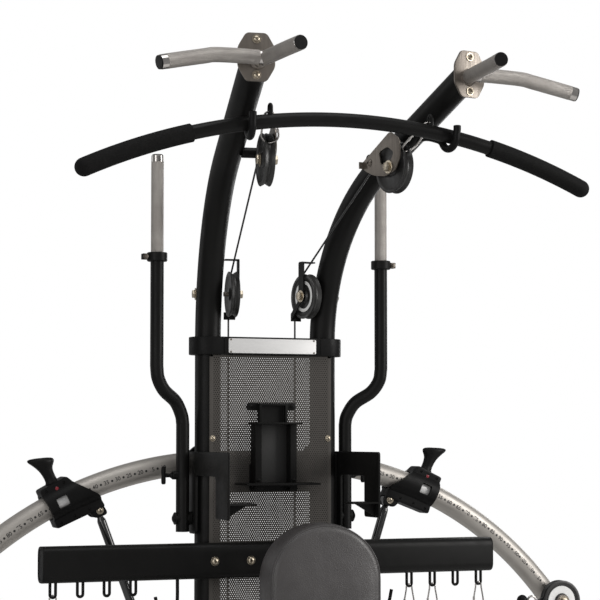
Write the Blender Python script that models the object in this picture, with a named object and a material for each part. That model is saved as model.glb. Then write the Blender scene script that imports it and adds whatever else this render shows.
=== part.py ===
"""Functional trainer: a gas-spring home gym with arc rails, lat bar, dip arms, seat and leg developer.

Metres, +Z up. X is the machine's width, -Y its front. The origin is on the floor under the middle of its box.
Most positions are measured from the column, whose axis plane lies at COLUMN_Y behind the origin.
"""
import math

import bmesh
import bpy
from mathutils import Matrix, Vector

# ---------------------------------------------------------------- driving dimensions
COLUMN_Y = 0.509            # the column's plane behind the origin
GAP = 0.0003                # between pieces that touch

UPRIGHT_X = 0.132           # half the spacing of the two column tubes
UPRIGHT_R = 0.0275
SPLAY = math.radians(10)    # each bent tube leans forward in a plane turned outward by this
BEND_Z = 1.50               # where the tubes start to curve forward
BEND_R = 0.41
BEND_ANGLE = math.radians(64)
TUBE_REACH = 0.512          # forward reach of the tube's end

HANDLE_R = 0.014            # pull-up handles, dip arms, lat bar
PLATE_Z = 2.0125            # middle of the pull-up plates

ARC_X = 0.08                # arc rail's centre, which is also the gas spring's lower pivot
ARC_Z = 0.43
ARC_Y = 0.063
ARC_R = 0.82
RAIL_R = 0.024
RAIL_START = math.radians(-4.6)
RAIL_END = math.radians(54.6)
END_PULLEY_ANGLE = math.radians(52.6)
SPRING_ANGLE = math.radians(19.34)
KNOB_ANGLE = math.radians(24.1)
SPRING_TOP_R = 0.757
# how far each slider stands from the middle of its travel at rest, outward
SETTING = {"left": math.radians(1.5), "right": math.radians(-1.5)}

TOP_PULLEY = (-0.0536, 0.350, 1.846)      # outward, forward, up, in a tube's own plane
TOP_PULLEY_R = 0.0525
MID_PULLEY = (-0.0500, 0.0139, 1.6058)
MID_PULLEY_R = 0.0485
PULLEY_W = 0.020
END_PULLEY_R = 0.0475
GROOVE = 0.0048             # depth of a pulley's groove
CABLE_R = 0.002

HOOK_OUT = 0.005             # the bar hooks' place outward of the upright's plane
LAT_Y = -0.455              # lat bar at rest in its hooks, measured from the column
LAT_Z = 1.9165
LAT_BOW_R = 1.27
LAT_GRIP_X = 0.315
LAT_END_X = 0.542
LAT_SLIDE = -0.014           # the bar hangs this far along its own bow
LAT_GRIP_R = 0.0178

DIP_X = 0.187               # dip arm's lower tube
DIP_UPPER_X = 0.257
DIP_UPPER_Y = -0.034
DIP_PIVOT_Z = 1.132
PIN_Z = 1.2226
DIP_TOP_Z = 1.6720
HANDLE_TOP_Z = 1.8935

BEAM_HALF = 0.508
BEAM_Y = -0.0560
BEAM_Z = 1.046
BEAM_H = 0.074
BEAM_D = 0.045

PANEL_Y = -0.0298
PANEL_T = 0.0024
PANEL_HALF = 0.139
PANEL_Z = (0.620, 1.4764)

BASE_H = 0.060              # height of the floor tubes
REAR_FOOT_HALF = 0.55
FRONT_FOOT_HALF = 0.27
FRONT_FOOT_Y = -1.085

SEAT_TUBE_Z = (0.335, 0.385)
SEAT_FRONT_Y = -0.84
LEVER_Y = -0.200
LEVER_Z = 0.4671
LEVER_BAR_Y = 0.034
LEG_PIVOT_Y = -0.868
LEG_PIVOT_Z = 0.360
ANKLE_Z = 0.130
KNEE_Y = -0.862
KNEE_Z = 0.432
ROLLER_R = 0.042
ROLLER_X = (0.034, 0.194)
SHAFT_R = 0.010             # the rollers' shafts
SHAFT_HALF = 0.198

# ---------------------------------------------------------------- materials
# colour, roughness and metallic share of each material slot
FINISHES = {
    "powder_coat": ((0.013, 0.013, 0.014), 0.42, 0.0),
    "perforated_sheet": ((0.030, 0.029, 0.028), 0.45, 0.0),
    "moulded_plastic": ((0.016, 0.016, 0.017), 0.38, 0.0),
    "pulley_nylon": ((0.014, 0.014, 0.015), 0.40, 0.0),
    "knurled_chrome": ((0.62, 0.60, 0.58), 0.28, 1.0),
    "plated_steel": ((0.50, 0.47, 0.43), 0.38, 1.0),
    "silver_rail": ((0.47, 0.46, 0.44), 0.42, 0.8),
    "gloss_cylinder": ((0.010, 0.010, 0.011), 0.15, 0.0),
    "chromed_rod": ((0.65, 0.65, 0.66), 0.12, 1.0),
    "foam": ((0.016, 0.016, 0.016), 0.85, 0.0),
    "leather": ((0.016, 0.016, 0.017), 0.45, 0.0),
    "cable_jacket": ((0.030, 0.030, 0.030), 0.50, 0.0),
}


def finish(name):
    """The named material, made once."""
    material = bpy.data.materials.get(name)
    if material:
        return material
    colour, roughness, metallic = FINISHES[name]
    material = bpy.data.materials.new(name)
    material.use_nodes = True
    shader = material.node_tree.nodes["Principled BSDF"]
    shader.inputs["Base Color"].default_value = (*colour, 1.0)
    shader.inputs["Roughness"].default_value = roughness
    shader.inputs["Metallic"].default_value = metallic
    return material


# ---------------------------------------------------------------- mesh helpers
def new_mesh(bm):
    """A mesh from a bmesh, with its faces turned outward."""
    bmesh.ops.recalc_face_normals(bm, faces=bm.faces)
    mesh = bpy.data.meshes.new("shape")
    bm.to_mesh(mesh)
    bm.free()
    return mesh


def box(low, high, bevel=0.0):
    """A block between two corners, with its edges bevelled."""
    bm = bmesh.new()
    bmesh.ops.create_cube(bm, size=1.0)
    size = [b - a for a, b in zip(low, high)]
    middle = [(a + b) / 2 for a, b in zip(low, high)]
    bmesh.ops.scale(bm, vec=size, verts=bm.verts)
    bmesh.ops.translate(bm, vec=middle, verts=bm.verts)
    if bevel:
        bmesh.ops.bevel(bm, geom=bm.edges[:], offset=bevel, segments=1, affect="EDGES", profile=0.5)
    return new_mesh(bm)


def prism(outline, axis, low, high):
    """An outline pushed along an axis, from low to high.

    Along X the outline is (y, z), along Y it is (x, z) and along Z it is (x, y).
    """
    def place(point, along):
        a, b = point
        return {"X": (along, a, b), "Y": (a, along, b), "Z": (a, b, along)}[axis]

    bm = bmesh.new()
    bottom = [bm.verts.new(place(point, low)) for point in outline]
    top = [bm.verts.new(place(point, high)) for point in outline]
    count = len(outline)
    bm.faces.new(bottom)
    bm.faces.new(top)
    for i in range(count):
        j = (i + 1) % count
        bm.faces.new((bottom[i], bottom[j], top[j], top[i]))
    return new_mesh(bm)


def sweep(points, radius, sides=10):
    """A round bar along a path, closed at both ends."""
    path = [Vector(point) for point in points]
    last = len(path) - 1
    bm = bmesh.new()
    rings = []
    normal = None
    for i, point in enumerate(path):
        tangent = (path[min(i + 1, last)] - path[max(i - 1, 0)]).normalized()
        if normal is None:
            normal = tangent.orthogonal().normalized()
        normal = (normal - tangent * normal.dot(tangent)).normalized()
        side = tangent.cross(normal)
        ring = []
        for k in range(sides):
            turn = math.tau * k / sides
            across = math.cos(turn) * normal + math.sin(turn) * side
            ring.append(bm.verts.new(point + radius * across))
        rings.append(ring)
    for first, second in zip(rings, rings[1:]):
        for k in range(sides):
            j = (k + 1) % sides
            bm.faces.new((first[k], first[j], second[j], second[k]))
    bm.faces.new(rings[0])
    bm.faces.new(rings[-1])
    return new_mesh(bm)


def turned(profile, axis, sides=20):
    """A profile of (along, radius) pairs turned about an axis through the origin.

    A profile that ends on the axis is a solid; any other is closed on itself, as a ring.
    """
    def place(along, radius, turn):
        a, b = radius * math.cos(turn), radius * math.sin(turn)
        return {"X": (along, a, b), "Y": (a, along, b), "Z": (a, b, along)}[axis]

    bm = bmesh.new()
    rows = []
    for along, radius in profile:
        if radius == 0:
            rows.append([bm.verts.new(place(along, 0, 0))])
        else:
            rows.append([bm.verts.new(place(along, radius, math.tau * k / sides)) for k in range(sides)])
    pairs = list(zip(rows, rows[1:]))
    if profile[0][1] > 0 and profile[-1][1] > 0:
        pairs.append((rows[-1], rows[0]))
    for first, second in pairs:
        for k in range(sides):
            j = (k + 1) % sides
            corners = [row[i % len(row)] for row, i in ((first, k), (first, j), (second, j), (second, k))]
            face = list(dict.fromkeys(corners))
            if len(face) > 2:
                bm.faces.new(face)
    return new_mesh(bm)


def rod(axis, radius, low, high, sides=10):
    """A round bar on an axis, from low to high."""
    return turned([(low, 0), (low, radius), (high, radius), (high, 0)], axis, sides)


def moved(mesh, offset=(0, 0, 0), turn=None):
    """The mesh turned by a matrix and then moved."""
    mesh.transform(Matrix.Translation(offset) @ (turn or Matrix()))
    return mesh


def combined(base, others, operation):
    """The base mesh joined with, or cut by, the other meshes."""
    def temporary(mesh):
        item = bpy.data.objects.new("temporary", mesh)
        bpy.context.scene.collection.objects.link(item)
        return item

    body = temporary(base)
    tools = [temporary(mesh) for mesh in others]
    for tool in tools:
        modifier = body.modifiers.new("boolean", "BOOLEAN")
        modifier.operation = operation
        modifier.solver = "EXACT"
        modifier.object = tool
    evaluated = body.evaluated_get(bpy.context.evaluated_depsgraph_get())
    result = bpy.data.meshes.new_from_object(evaluated)
    for item in [body, *tools]:
        bpy.data.objects.remove(item)
    return result


def union(base, *others):
    return combined(base, others, "UNION")


def cut(base, *others):
    return combined(base, others, "DIFFERENCE")


def add(name, mesh, material, parent, location=(0, 0, 0), turn=0.0, turn_axis="Z"):
    """A named part under its parent, smooth where it is round."""
    mesh.materials.clear()
    mesh.materials.append(finish(material))
    mesh.shade_smooth()
    mesh.set_sharp_from_angle(angle=math.radians(35))
    part = bpy.data.objects.new(name, mesh)
    bpy.context.scene.collection.objects.link(part)
    part.parent = parent
    part.location = location
    part.rotation_euler["XYZ".index(turn_axis)] = turn
    return part


def datum(name, parent=None, location=(0, 0, 0), turn_z=0.0):
    """An empty that parts are placed under."""
    empty = bpy.data.objects.new(name, None)
    bpy.context.scene.collection.objects.link(empty)
    empty.parent = parent
    empty.location = location
    empty.rotation_euler.z = turn_z
    return empty


# ---------------------------------------------------------------- shared curves
def arc(centre, radius, start, end, steps):
    """Points on a circle in a plane, by angle from the first axis towards the second."""
    angles = [start + (end - start) * i / steps for i in range(steps + 1)]
    return [(centre[0] + radius * math.cos(a), centre[1] + radius * math.sin(a)) for a in angles]


def rounded(corners, radius, steps=3):
    """A closed outline whose corners are rounded."""
    outline = []
    count = len(corners)
    for i in range(count):
        before, here, after = (Vector(corners[(i + k) % count]) for k in (-1, 0, 1))
        start = here + (before - here).normalized() * radius
        end = here + (after - here).normalized() * radius
        for k in range(steps + 1):
            t = k / steps
            point = (1 - t) ** 2 * start + 2 * t * (1 - t) * here + t ** 2 * end
            outline.append((point.x, point.y))
    return outline


def smooth_path(knots, steps=5):
    """A Catmull-Rom curve through the knots."""
    points = [Vector(knot) for knot in knots]
    padded = [2 * points[0] - points[1], *points, 2 * points[-1] - points[-2]]
    path = []
    for a, b, c, d in zip(padded, padded[1:], padded[2:], padded[3:]):
        for k in range(steps):
            t = k / steps
            path.append(0.5 * (2 * b + (c - a) * t + (2 * a - 5 * b + 4 * c - d) * t ** 2
                               + (3 * b - a - 3 * c + d) * t ** 3))
    path.append(points[-1])
    return path


def tube_height(forward):
    """The height of the straight upper stretch at a forward reach."""
    start = BEND_R * (1 - math.cos(BEND_ANGLE))
    return BEND_Z + BEND_R * math.sin(BEND_ANGLE) + (forward - start) / math.tan(BEND_ANGLE)


def lat_height(x):
    """The height of the lat bar's bowed axis."""
    return LAT_Z - LAT_BOW_R + math.sqrt(LAT_BOW_R ** 2 - x ** 2)


def pulley_profile(radius, width, bore):
    """A grooved wheel with a bore."""
    half = width / 2
    groove = radius - GROOVE
    return [(-half, bore), (-half, radius - 0.001), (-half + 0.001, radius), (-0.0024, groove),
            (0.0024, groove), (half - 0.001, radius), (half, radius - 0.001), (half, bore)]


# ---------------------------------------------------------------- column and base
def upright(side, frame):
    path = [(0, 0, BASE_H + GAP), (0, 0, BEND_Z)]
    for forward, height in arc((-BEND_R, 0), BEND_R, 0, BEND_ANGLE, 10)[1:]:
        path.append((0, forward, BEND_Z + height))
    path.append((0, -TUBE_REACH, tube_height(TUBE_REACH)))
    add(side + "_upright", sweep(path, UPRIGHT_R, 16), "powder_coat", frame)


def collar(column):
    half = 0.019
    radius = 0.0405
    right = arc((UPRIGHT_X, 0), radius, -math.pi / 2, math.pi / 2, 12)
    left = arc((-UPRIGHT_X, 0), radius, math.pi / 2, math.pi * 1.5, 12)
    band = prism(right + left, "Z", -half, half)
    bore = UPRIGHT_R + 0.0018
    bores = [moved(rod("Z", bore, -0.1, 0.1, 16), (x, 0, 0)) for x in (-UPRIGHT_X, UPRIGHT_X)]
    middle = box((-0.0995, -0.034, -0.1), (0.0995, 0.034, 0.1))
    add("column_collar", cut(band, *bores, middle), "moulded_plastic", column,
        (0, 0, PANEL_Z[1] + GAP + half))


def panel(column):
    low = (-PANEL_HALF, PANEL_Y - PANEL_T / 2, PANEL_Z[0])
    high = (PANEL_HALF, PANEL_Y + PANEL_T / 2, PANEL_Z[1])
    add("mesh_panel", box(low, high), "perforated_sheet", column)


def cross_beam(column):
    outline = rounded([(BEAM_Y - BEAM_D / 2, BEAM_Z - BEAM_H / 2), (BEAM_Y + BEAM_D / 2, BEAM_Z - BEAM_H / 2),
                       (BEAM_Y + BEAM_D / 2, BEAM_Z + BEAM_H / 2), (BEAM_Y - BEAM_D / 2, BEAM_Z + BEAM_H / 2)],
                      0.019)
    add("cross_beam", prism(outline, "X", -BEAM_HALF, BEAM_HALF), "powder_coat", column)


def accessory_bracket(column):
    back = PANEL_Y - PANEL_T / 2 - GAP
    shape = union(
        box((-0.050, back - 0.003, 1.190), (0.050, back, 1.245)),
        box((-0.056, back - 0.0031, 1.356), (0.056, back, 1.371)),
        box((-0.032, back - 0.012, 1.318), (0.032, back - 0.001, 1.3695)),
        box((-0.047, back - 0.026, 1.2045), (0.047, back - 0.0011, 1.326)),
        box((-0.051, back - 0.050, 1.325), (0.051, back - 0.0012, 1.3285)),
        box((-0.083, back - 0.075, 1.200), (0.083, back - 0.0013, 1.2048)))
    add("accessory_bracket", shape, "powder_coat", column)


def arm_bracket(side, sign, column):
    """The plate beside the column that carries a dip arm, with its forward leg and inner lip."""
    outline = [(0.014, 1.100), (0.014, 1.272), (-0.222, 1.272), (-0.222, 1.136), (-0.150, 1.136),
               (-0.150, 1.222), (-0.026, 1.222), (-0.026, 1.100)]
    inner, outer = 0.1635, 0.1685
    plate = prism(outline, "X", inner, outer)
    lip = box((0.104, -0.2218, 1.165), (inner + 0.002, -0.178, 1.169))
    gusset = prism([(0.118, 1.1655), (inner + 0.002, 1.1655), (inner + 0.002, 1.138)], "Y", -0.2020, -0.1985)
    tab = box((UPRIGHT_X + UPRIGHT_R + GAP, -0.010, 1.105), (inner + 0.002, 0.010, 1.268))
    shape = union(plate, lip, gusset, tab)
    add(side + "_arm_bracket", mirrored(shape, sign), "powder_coat", column)


def mirrored(mesh, sign):
    """The mesh as it is for the right side, or its mirror image for the left."""
    if sign < 0:
        mesh.transform(Matrix.Diagonal((-1, 1, 1, 1)))
        mesh.flip_normals()
    return mesh


def base(column):
    low_edge = 0.006
    rear = box((-REAR_FOOT_HALF, -0.045, 0), (REAR_FOOT_HALF, 0.045, BASE_H), low_edge)
    add("rear_foot", rear, "powder_coat", column)
    front_y = (FRONT_FOOT_Y - 0.030, FRONT_FOOT_Y + 0.030)
    front = box((-FRONT_FOOT_HALF, front_y[0], 0), (FRONT_FOOT_HALF, front_y[1], BASE_H), low_edge)
    add("front_foot", front, "powder_coat", column)
    beam = box((-0.030, front_y[1] + GAP, 0.002), (0.030, -0.045 - GAP, BASE_H), 0.005)
    add("floor_beam", beam, "powder_coat", column)


def lever_cheeks(bottom):
    """Two plates on the seat rail, with the foot they stand on and the lever's pin."""
    outline = [(LEVER_Y - 0.026, bottom + 0.010), (LEVER_Y + 0.026, bottom + 0.010),
               (LEVER_Y + 0.022, LEVER_Z + 0.016), (LEVER_Y - 0.022, LEVER_Z + 0.016)]
    plates = [prism(outline, "X", x - 0.0025, x + 0.0025) for x in (-0.0500, 0.0500)]
    foot = box((-0.0522, LEVER_Y - 0.024, bottom + 0.012), (0.0522, LEVER_Y + 0.024, bottom + 0.040))
    pin = moved(rod("X", 0.008, -0.056, 0.056), (0, LEVER_Y, LEVER_Z))
    return [*plates, foot, pin]


def leg_fork(bottom, top):
    """The fork that holds the leg developer, and the lug and shaft of the knee rollers above it."""
    half = 0.0025
    front, back = LEG_PIVOT_Y - 0.022, SEAT_FRONT_Y + 0.030
    plates = [box((x - half, front, bottom + 0.003), (x + half, back, top - 0.003)) for x in (-0.0255, 0.0255)]
    pin = moved(rod("X", 0.007, -0.034, 0.034), (0, LEG_PIVOT_Y, LEG_PIVOT_Z))
    lug_foot = box((-0.0245, SEAT_FRONT_Y - 0.0001, top - 0.020), (0.0245, back, top + 0.006), 0.002)
    lug = box((-0.010, -0.8745, top + 0.0035), (0.010, -0.826, KNEE_Z + 0.014), 0.002)
    shaft = moved(rod("X", SHAFT_R, -SHAFT_HALF, SHAFT_HALF), (0, KNEE_Y, KNEE_Z))
    return [*plates, pin, lug_foot, lug, shaft]


def seat_parts(column):
    bottom, top = SEAT_TUBE_Z
    post = box((-0.025, -0.645, BASE_H + GAP), (0.025, -0.595, bottom - GAP), 0.004)
    add("seat_post", post, "powder_coat", column)
    rail = box((-0.025, SEAT_FRONT_Y, bottom), (0.025, 0.028, top), 0.004)
    cross = box((-0.1040, -0.020, bottom - 0.045), (0.1040, 0.020, bottom + 0.006), 0.003)
    frame = union(rail, cross, *lever_cheeks(bottom), *leg_fork(bottom, top))
    add("seat_frame", frame, "powder_coat", column)
    back_post = box((-0.020, -0.266, top + GAP), (0.020, -0.228, 1.020), 0.004)
    add("backrest_post", back_post, "powder_coat", column)
    pads(column, top)


def pads(column, rail_top):
    seat_outline = rounded([(-0.100, -0.325), (0.100, -0.325), (0.150, -0.560), (0.125, -0.800),
                            (-0.125, -0.800), (-0.150, -0.560)], 0.045)
    add("seat_pad", prism(seat_outline, "Z", rail_top + 0.008, 0.462), "leather", column)
    half = 0.120
    shoulder = 1.020
    crown = [(x, shoulder + (z - shoulder) * 0.93) for x, z in arc((0, shoulder), half, 0, math.pi, 16)]
    back_outline = [(half, 0.560), *crown, (-half, 0.560), (-0.095, 0.500), (0.095, 0.500)]
    add("backrest_pad", prism(back_outline, "Y", -0.345, -0.2665), "leather", column)


# ---------------------------------------------------------------- head of the machine
def pull_up_handle(side, sign, frame):
    """A bolted plate with a forward grip and an outward bar."""
    plate_back = 0.5246
    plate = prism(rounded([(-0.020, PLATE_Z - 0.046), (0.020, PLATE_Z - 0.046), (0.036, PLATE_Z - 0.018),
                           (0.036, PLATE_Z + 0.018), (0.020, PLATE_Z + 0.046), (-0.020, PLATE_Z + 0.046),
                           (-0.036, PLATE_Z + 0.018), (-0.036, PLATE_Z - 0.018)], 0.007),
                  "Y", -plate_back - 0.005, -plate_back)
    root = 2.006
    grip_path = [(-0.004, -plate_back - 0.002, root), (-0.020, -0.580, root + 0.001),
                 (-0.050, -0.692, root + 0.004)]
    forward = sweep(grip_path, HANDLE_R)
    bar_knots = [(-0.006, -0.556, root + 0.0004), (0.040, -0.566, root), (0.088, -0.581, root - 0.003),
                 (0.108, -0.588, root - 0.0075), (0.197, -0.618, 1.977)]
    outward = sweep(smooth_path(bar_knots, 2), HANDLE_R)
    shape = union(plate, forward, outward)
    add(side + "_pull_up_handle", mirrored(shape, sign), "knurled_chrome", frame)


def bar_hook(side, sign, frame):
    """A round J that the lat bar rests in."""
    reach = 0.463
    rod = 0.0075
    seat = HANDLE_R + rod + 0.0024
    height = lat_height(0.2190)
    top = tube_height(reach - seat) - (UPRIGHT_R + rod) / math.cos(math.pi / 2 - BEND_ANGLE) + 0.004
    cup = [(HOOK_OUT, -(reach - seat * math.cos(a)), height - seat * math.sin(a))
           for a in [math.pi * k / 8 for k in range(9)]]
    front = reach + seat + 0.0025
    tip = [(HOOK_OUT, -front, height + 0.012), (HOOK_OUT, -front, height + 0.020)]
    path = [(HOOK_OUT, -(reach - seat), top), *cup, *tip]
    add(side + "_bar_hook", sweep(path, rod, 12), "powder_coat", frame)


def top_pulley(side, sign, frame):
    u, f, z = TOP_PULLEY
    centre = (sign * u, -f, z)
    bore = 0.0052
    wheel = turned(pulley_profile(TOP_PULLEY_R, PULLEY_W, bore), "X")
    add(side + "_top_pulley", wheel, "pulley_nylon", frame, centre)
    inner = u - PULLEY_W / 2 - 0.002
    outline = rounded([(0.121, 0.022), (-0.002, 0.074), (-0.046, 0.052), (-0.048, 0.018), (-0.030, -0.008),
                       (0.012, -0.018), (0.060, -0.012), (0.098, 0.004)], 0.009, 3)
    plate = prism([(y - f, z + dz) for y, dz in outline], "X", inner - 0.003, inner)
    hole_corners = [(0.052, 0.040), (0.010, 0.046), (-0.014, 0.030), (0.004, 0.013), (0.046, 0.010)]
    hole = rounded(hole_corners, 0.008, 3)
    window = prism([(y - f, z + dz) for y, dz in hole], "X", inner - 0.010, inner + 0.010)
    flange = box((inner - 0.018, 0.106 - f, z + 0.008), (inner - 0.0005, 0.1085 - f, z + 0.027))
    stub_f = 0.276
    stub_z = 1.870
    stub = moved(rod("X", 0.0105, inner - 0.001, -0.0205), (0, -stub_f, stub_z))
    tube_ends = [(0, -reach, tube_height(reach)) for reach in (stub_f - 0.2, stub_f + 0.2)]
    stub = cut(stub, sweep(tube_ends, UPRIGHT_R + 0.0006, 16))
    near, far = inner - 0.0025, u + 0.0125
    axle_profile = [(near - 0.0075, 0), (near - 0.0075, 0.008), (near, 0.008), (near, 0.005), (far, 0.005),
                    (far, 0.008), (far + 0.007, 0.008), (far + 0.007, 0)]
    axle = moved(turned(axle_profile, "X", 8), (0, -f, z))
    shape = union(cut(plate, window), flange, stub, axle)
    add(side + "_top_pulley_bracket", mirrored(shape, sign), "plated_steel", frame)


def mid_pulley(side, sign, frame):
    u, f, z = MID_PULLEY
    centre = (sign * u, -f, z)
    wheel = turned(pulley_profile(MID_PULLEY_R, 0.018, 0.0052), "X")
    add(side + "_mid_pulley", wheel, "pulley_nylon", frame, centre)
    inner = u - 0.011
    strap = prism(rounded([(-f - 0.010, z - 0.012), (-f + 0.010, z - 0.012), (-f + 0.010, z + 0.075),
                           (-f - 0.010, z + 0.075)], 0.004, 2), "X", inner - 0.003, inner)
    keeper = box((inner - 0.001, -f - 0.010, z + 0.0715), (-0.0330, -f + 0.006, z + 0.0745))
    lower = box((inner - 0.001, -f + 0.0385, z - 0.052), (-0.0385, -f + 0.0410, z - 0.036))
    arm_outline = [(-f - 0.006, z - 0.008), (-f + 0.004, z - 0.002), (-f + 0.0413, z - 0.036),
                   (-f + 0.0413, z - 0.052)]
    lower_arm = prism(arm_outline, "X", inner - 0.0028, inner - 0.0002)
    axle_profile = [(inner - 0.008, 0), (inner - 0.008, 0.007), (inner - 0.002, 0.007), (inner - 0.002, 0.005),
                    (-0.0310, 0.005), (-0.0310, 0)]
    axle = moved(turned(axle_profile, "X", 8), (0, -f, z))
    shape = union(strap, keeper, lower_arm, lower, axle)
    add(side + "_mid_pulley_bracket", mirrored(shape, sign), "powder_coat", frame)


def cable_route(sign):
    """From above the top pulley, over both pulleys and down inside the column, in a tube's own plane."""
    u, top_f, top_z = TOP_PULLEY
    mid_u, mid_f, mid_z = MID_PULLEY
    top_r = TOP_PULLEY_R - GROOVE + CABLE_R + 0.0005
    mid_r = MID_PULLEY_R - GROOVE + CABLE_R + 0.0005
    slope = math.atan2(top_z - mid_z, top_f - mid_f)
    lean = slope + math.pi / 2 + math.asin((top_r - mid_r) / math.hypot(top_z - mid_z, top_f - mid_f))
    wrap = [(top_f + top_r * math.cos(a), top_z + top_r * math.sin(a))
            for a in [math.radians(62) + (lean - math.radians(62)) * k / 8 for k in range(9)]]
    turn = [(mid_f + mid_r * math.cos(a), mid_z + mid_r * math.sin(a))
            for a in [lean + (math.pi - lean) * k / 7 for k in range(8)]]
    rise = (math.cos(math.radians(62 - 90)), math.sin(math.radians(62 - 90)))
    start = [(wrap[0][0] + rise[0] * 0.006, wrap[0][1] + rise[1] * 0.006)]
    down = [(mid_f - mid_r, z) for z in (1.52, 1.30, 1.05, 0.80, 0.60)]
    flat = start + wrap + turn + down
    points = []
    for f, z in flat:
        share = min(max((f - mid_f) / (top_f - mid_f), 0), 1)
        points.append((sign * (mid_u + (u - mid_u) * share), -f, z))
    return points


def cable(side, sign, frame):
    add(side + "_cable", sweep(cable_route(sign), CABLE_R, 8), "cable_jacket", frame)


def bowed(sign, start, end, steps):
    """Points along one side of the lat bar's axis."""
    places = [start + (end - start) * k / steps for k in range(steps + 1)]
    return [(sign * x, LAT_Y, lat_height(x)) for x in places]


def slid(mesh, origin):
    """The mesh turned about the bow's centre, so it still rests in both hooks, and measured from the origin."""
    centre = Matrix.Translation(origin - Vector((0, 0, LAT_BOW_R)))
    mesh.transform(centre @ Matrix.Rotation(LAT_SLIDE / LAT_BOW_R, 4, "Y") @ centre.inverted())
    return moved(mesh, -origin)


def lat_bar(column):
    half = LAT_END_X - 0.024
    steps = 16
    path = [(x, LAT_Y, lat_height(x)) for x in [half * (2 * k / steps - 1) for k in range(steps + 1)]]
    origin = Vector((0, LAT_Y, LAT_Z))
    add("lat_bar", slid(sweep(path, HANDLE_R), origin), "powder_coat", column, origin)
    for side, sign in SIDES:
        outer = bowed(sign, LAT_GRIP_X, LAT_END_X - LAT_GRIP_R, 4)
        sleeve = sweep(outer, LAT_GRIP_R, 12)
        angles = [math.pi * k / 6 for k in range(1, 6)]
        dome = [(-LAT_GRIP_R * math.cos(a), LAT_GRIP_R * math.sin(a)) for a in angles]
        tip = moved(turned([(-LAT_GRIP_R, 0), *dome, (LAT_GRIP_R, 0)], "X", 8), outer[-1])
        bore = sweep(bowed(sign, LAT_GRIP_X - 0.02, half + 0.0005, 5), HANDLE_R + 0.0012, 12)
        grip = cut(union(sleeve, tip), bore)
        add(side + "_lat_grip", slid(grip, origin), "foam", column, origin)


# ---------------------------------------------------------------- dip arms
def dip_arm(side, sign, column):
    """A bent tube on a pivot at its foot, with a clamp collar, its chrome grip and its pull pin."""
    pivot = Vector((0, 0.002, DIP_PIVOT_Z))
    knots = [(DIP_X, 0.002, 1.330), (0.191, 0.000, 1.350), (0.207, -0.008, 1.3775), (0.237, -0.024, 1.4000),
             (0.253, -0.032, 1.4250), (DIP_UPPER_X, DIP_UPPER_Y, 1.450)]
    foot = Vector((DIP_X, 0.002, 1.104))
    head = Vector((DIP_UPPER_X, DIP_UPPER_Y, DIP_TOP_Z))
    tube = sweep([foot, *smooth_path(knots, 2), head], HANDLE_R)
    boss = moved(rod("X", 0.012, 0.1689, 0.2035), pivot)
    clamp_top = DIP_TOP_Z + 0.0158
    clamp_profile = [(-0.003, 0), (-0.003, 0.020), (-0.001, 0.0215), (0.014, 0.0215), (0.0155, 0.020),
                     (0.0155, 0)]
    clamp = moved(turned(clamp_profile, "Z", 12), head)
    ear = box((DIP_UPPER_X + 0.016, DIP_UPPER_Y - 0.007, DIP_TOP_Z),
              (DIP_UPPER_X + 0.033, DIP_UPPER_Y + 0.007, DIP_TOP_Z + 0.0125), 0.002)
    socket = moved(rod("X", 0.009, 0.196, 0.2105, 14), (0, 0.002, PIN_Z))
    arm = union(tube, boss, clamp, ear, socket)
    add(side + "_dip_arm", moved(mirrored(arm, sign), -pivot), "powder_coat", column, pivot)
    grip = turned([(clamp_top, 0), (clamp_top, 0.0132), (HANDLE_TOP_Z - 0.002, 0.0132), (HANDLE_TOP_Z, 0.0115),
                   (HANDLE_TOP_Z, 0)], "Z", 12)
    grip = moved(grip, (sign * DIP_UPPER_X, DIP_UPPER_Y, 0))
    add(side + "_dip_handle", moved(grip, -pivot), "knurled_chrome", column, pivot)
    shank = moved(rod("X", 0.0045, 0.2108, 0.2290, 8), (0, 0.002, PIN_Z))
    bar = moved(turned([(-0.019, 0), (-0.019, 0.003), (-0.016, 0.0048), (0.016, 0.0048), (0.019, 0.003),
                        (0.019, 0)], "Z", 8), (0.2292, 0.002, PIN_Z))
    pin = union(shank, bar)
    add(side + "_pull_pin", moved(mirrored(pin, sign), -pivot), "moulded_plastic", column, pivot)


# ---------------------------------------------------------------- arc rails, sliders and gas springs
def on_arc(angle, radius):
    """A point beside the arc rail's centre, by angle from straight up."""
    return (radius * math.sin(angle), radius * math.cos(angle))


def arc_path(start, end, steps):
    places = [on_arc(start + (end - start) * k / steps, ARC_R) for k in range(steps + 1)]
    return [(x, 0, z) for x, z in places]


def arc_rail(side, sign, pivot):
    rail = sweep(arc_path(RAIL_START, RAIL_END, 24), RAIL_R, 12)
    add(side + "_arc_rail", mirrored(rail, sign), "silver_rail", pivot)


def hub(column):
    outline = rounded([(-0.165, 1.185), (0.165, 1.185), (0.165, 1.262), (0.110, 1.285), (-0.110, 1.285),
                       (-0.165, 1.262)], 0.012)
    add("arc_hub_plate", prism(outline, "Y", UPRIGHT_R + GAP, ARC_Y - RAIL_R - 0.0004), "powder_coat", column)


def end_pulley(side, sign, pivot):
    x, z = on_arc(END_PULLEY_ANGLE, ARC_R)
    front = -ARC_Y
    wheel = turned(pulley_profile(END_PULLEY_R, PULLEY_W, 0.0064), "Y")
    add(side + "_end_pulley", wheel, "pulley_nylon", pivot, (sign * x, front + 0.018, z))
    back = front + 0.0386
    axle_profile = [(back, 0), (back, 0.015), (back - 0.004, 0.015), (back - 0.009, 0.009), (back - 0.009, 0.006),
                    (front + 0.0060, 0.006), (front + 0.0060, 0.016), (front + 0.0020, 0.016),
                    (front + 0.0010, 0.010), (front + 0.0010, 0)]
    axle = turned(axle_profile, "Y", 10)
    add(side + "_end_pulley_axle", moved(axle, (sign * x, 0, z)), "plated_steel", pivot)


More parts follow.
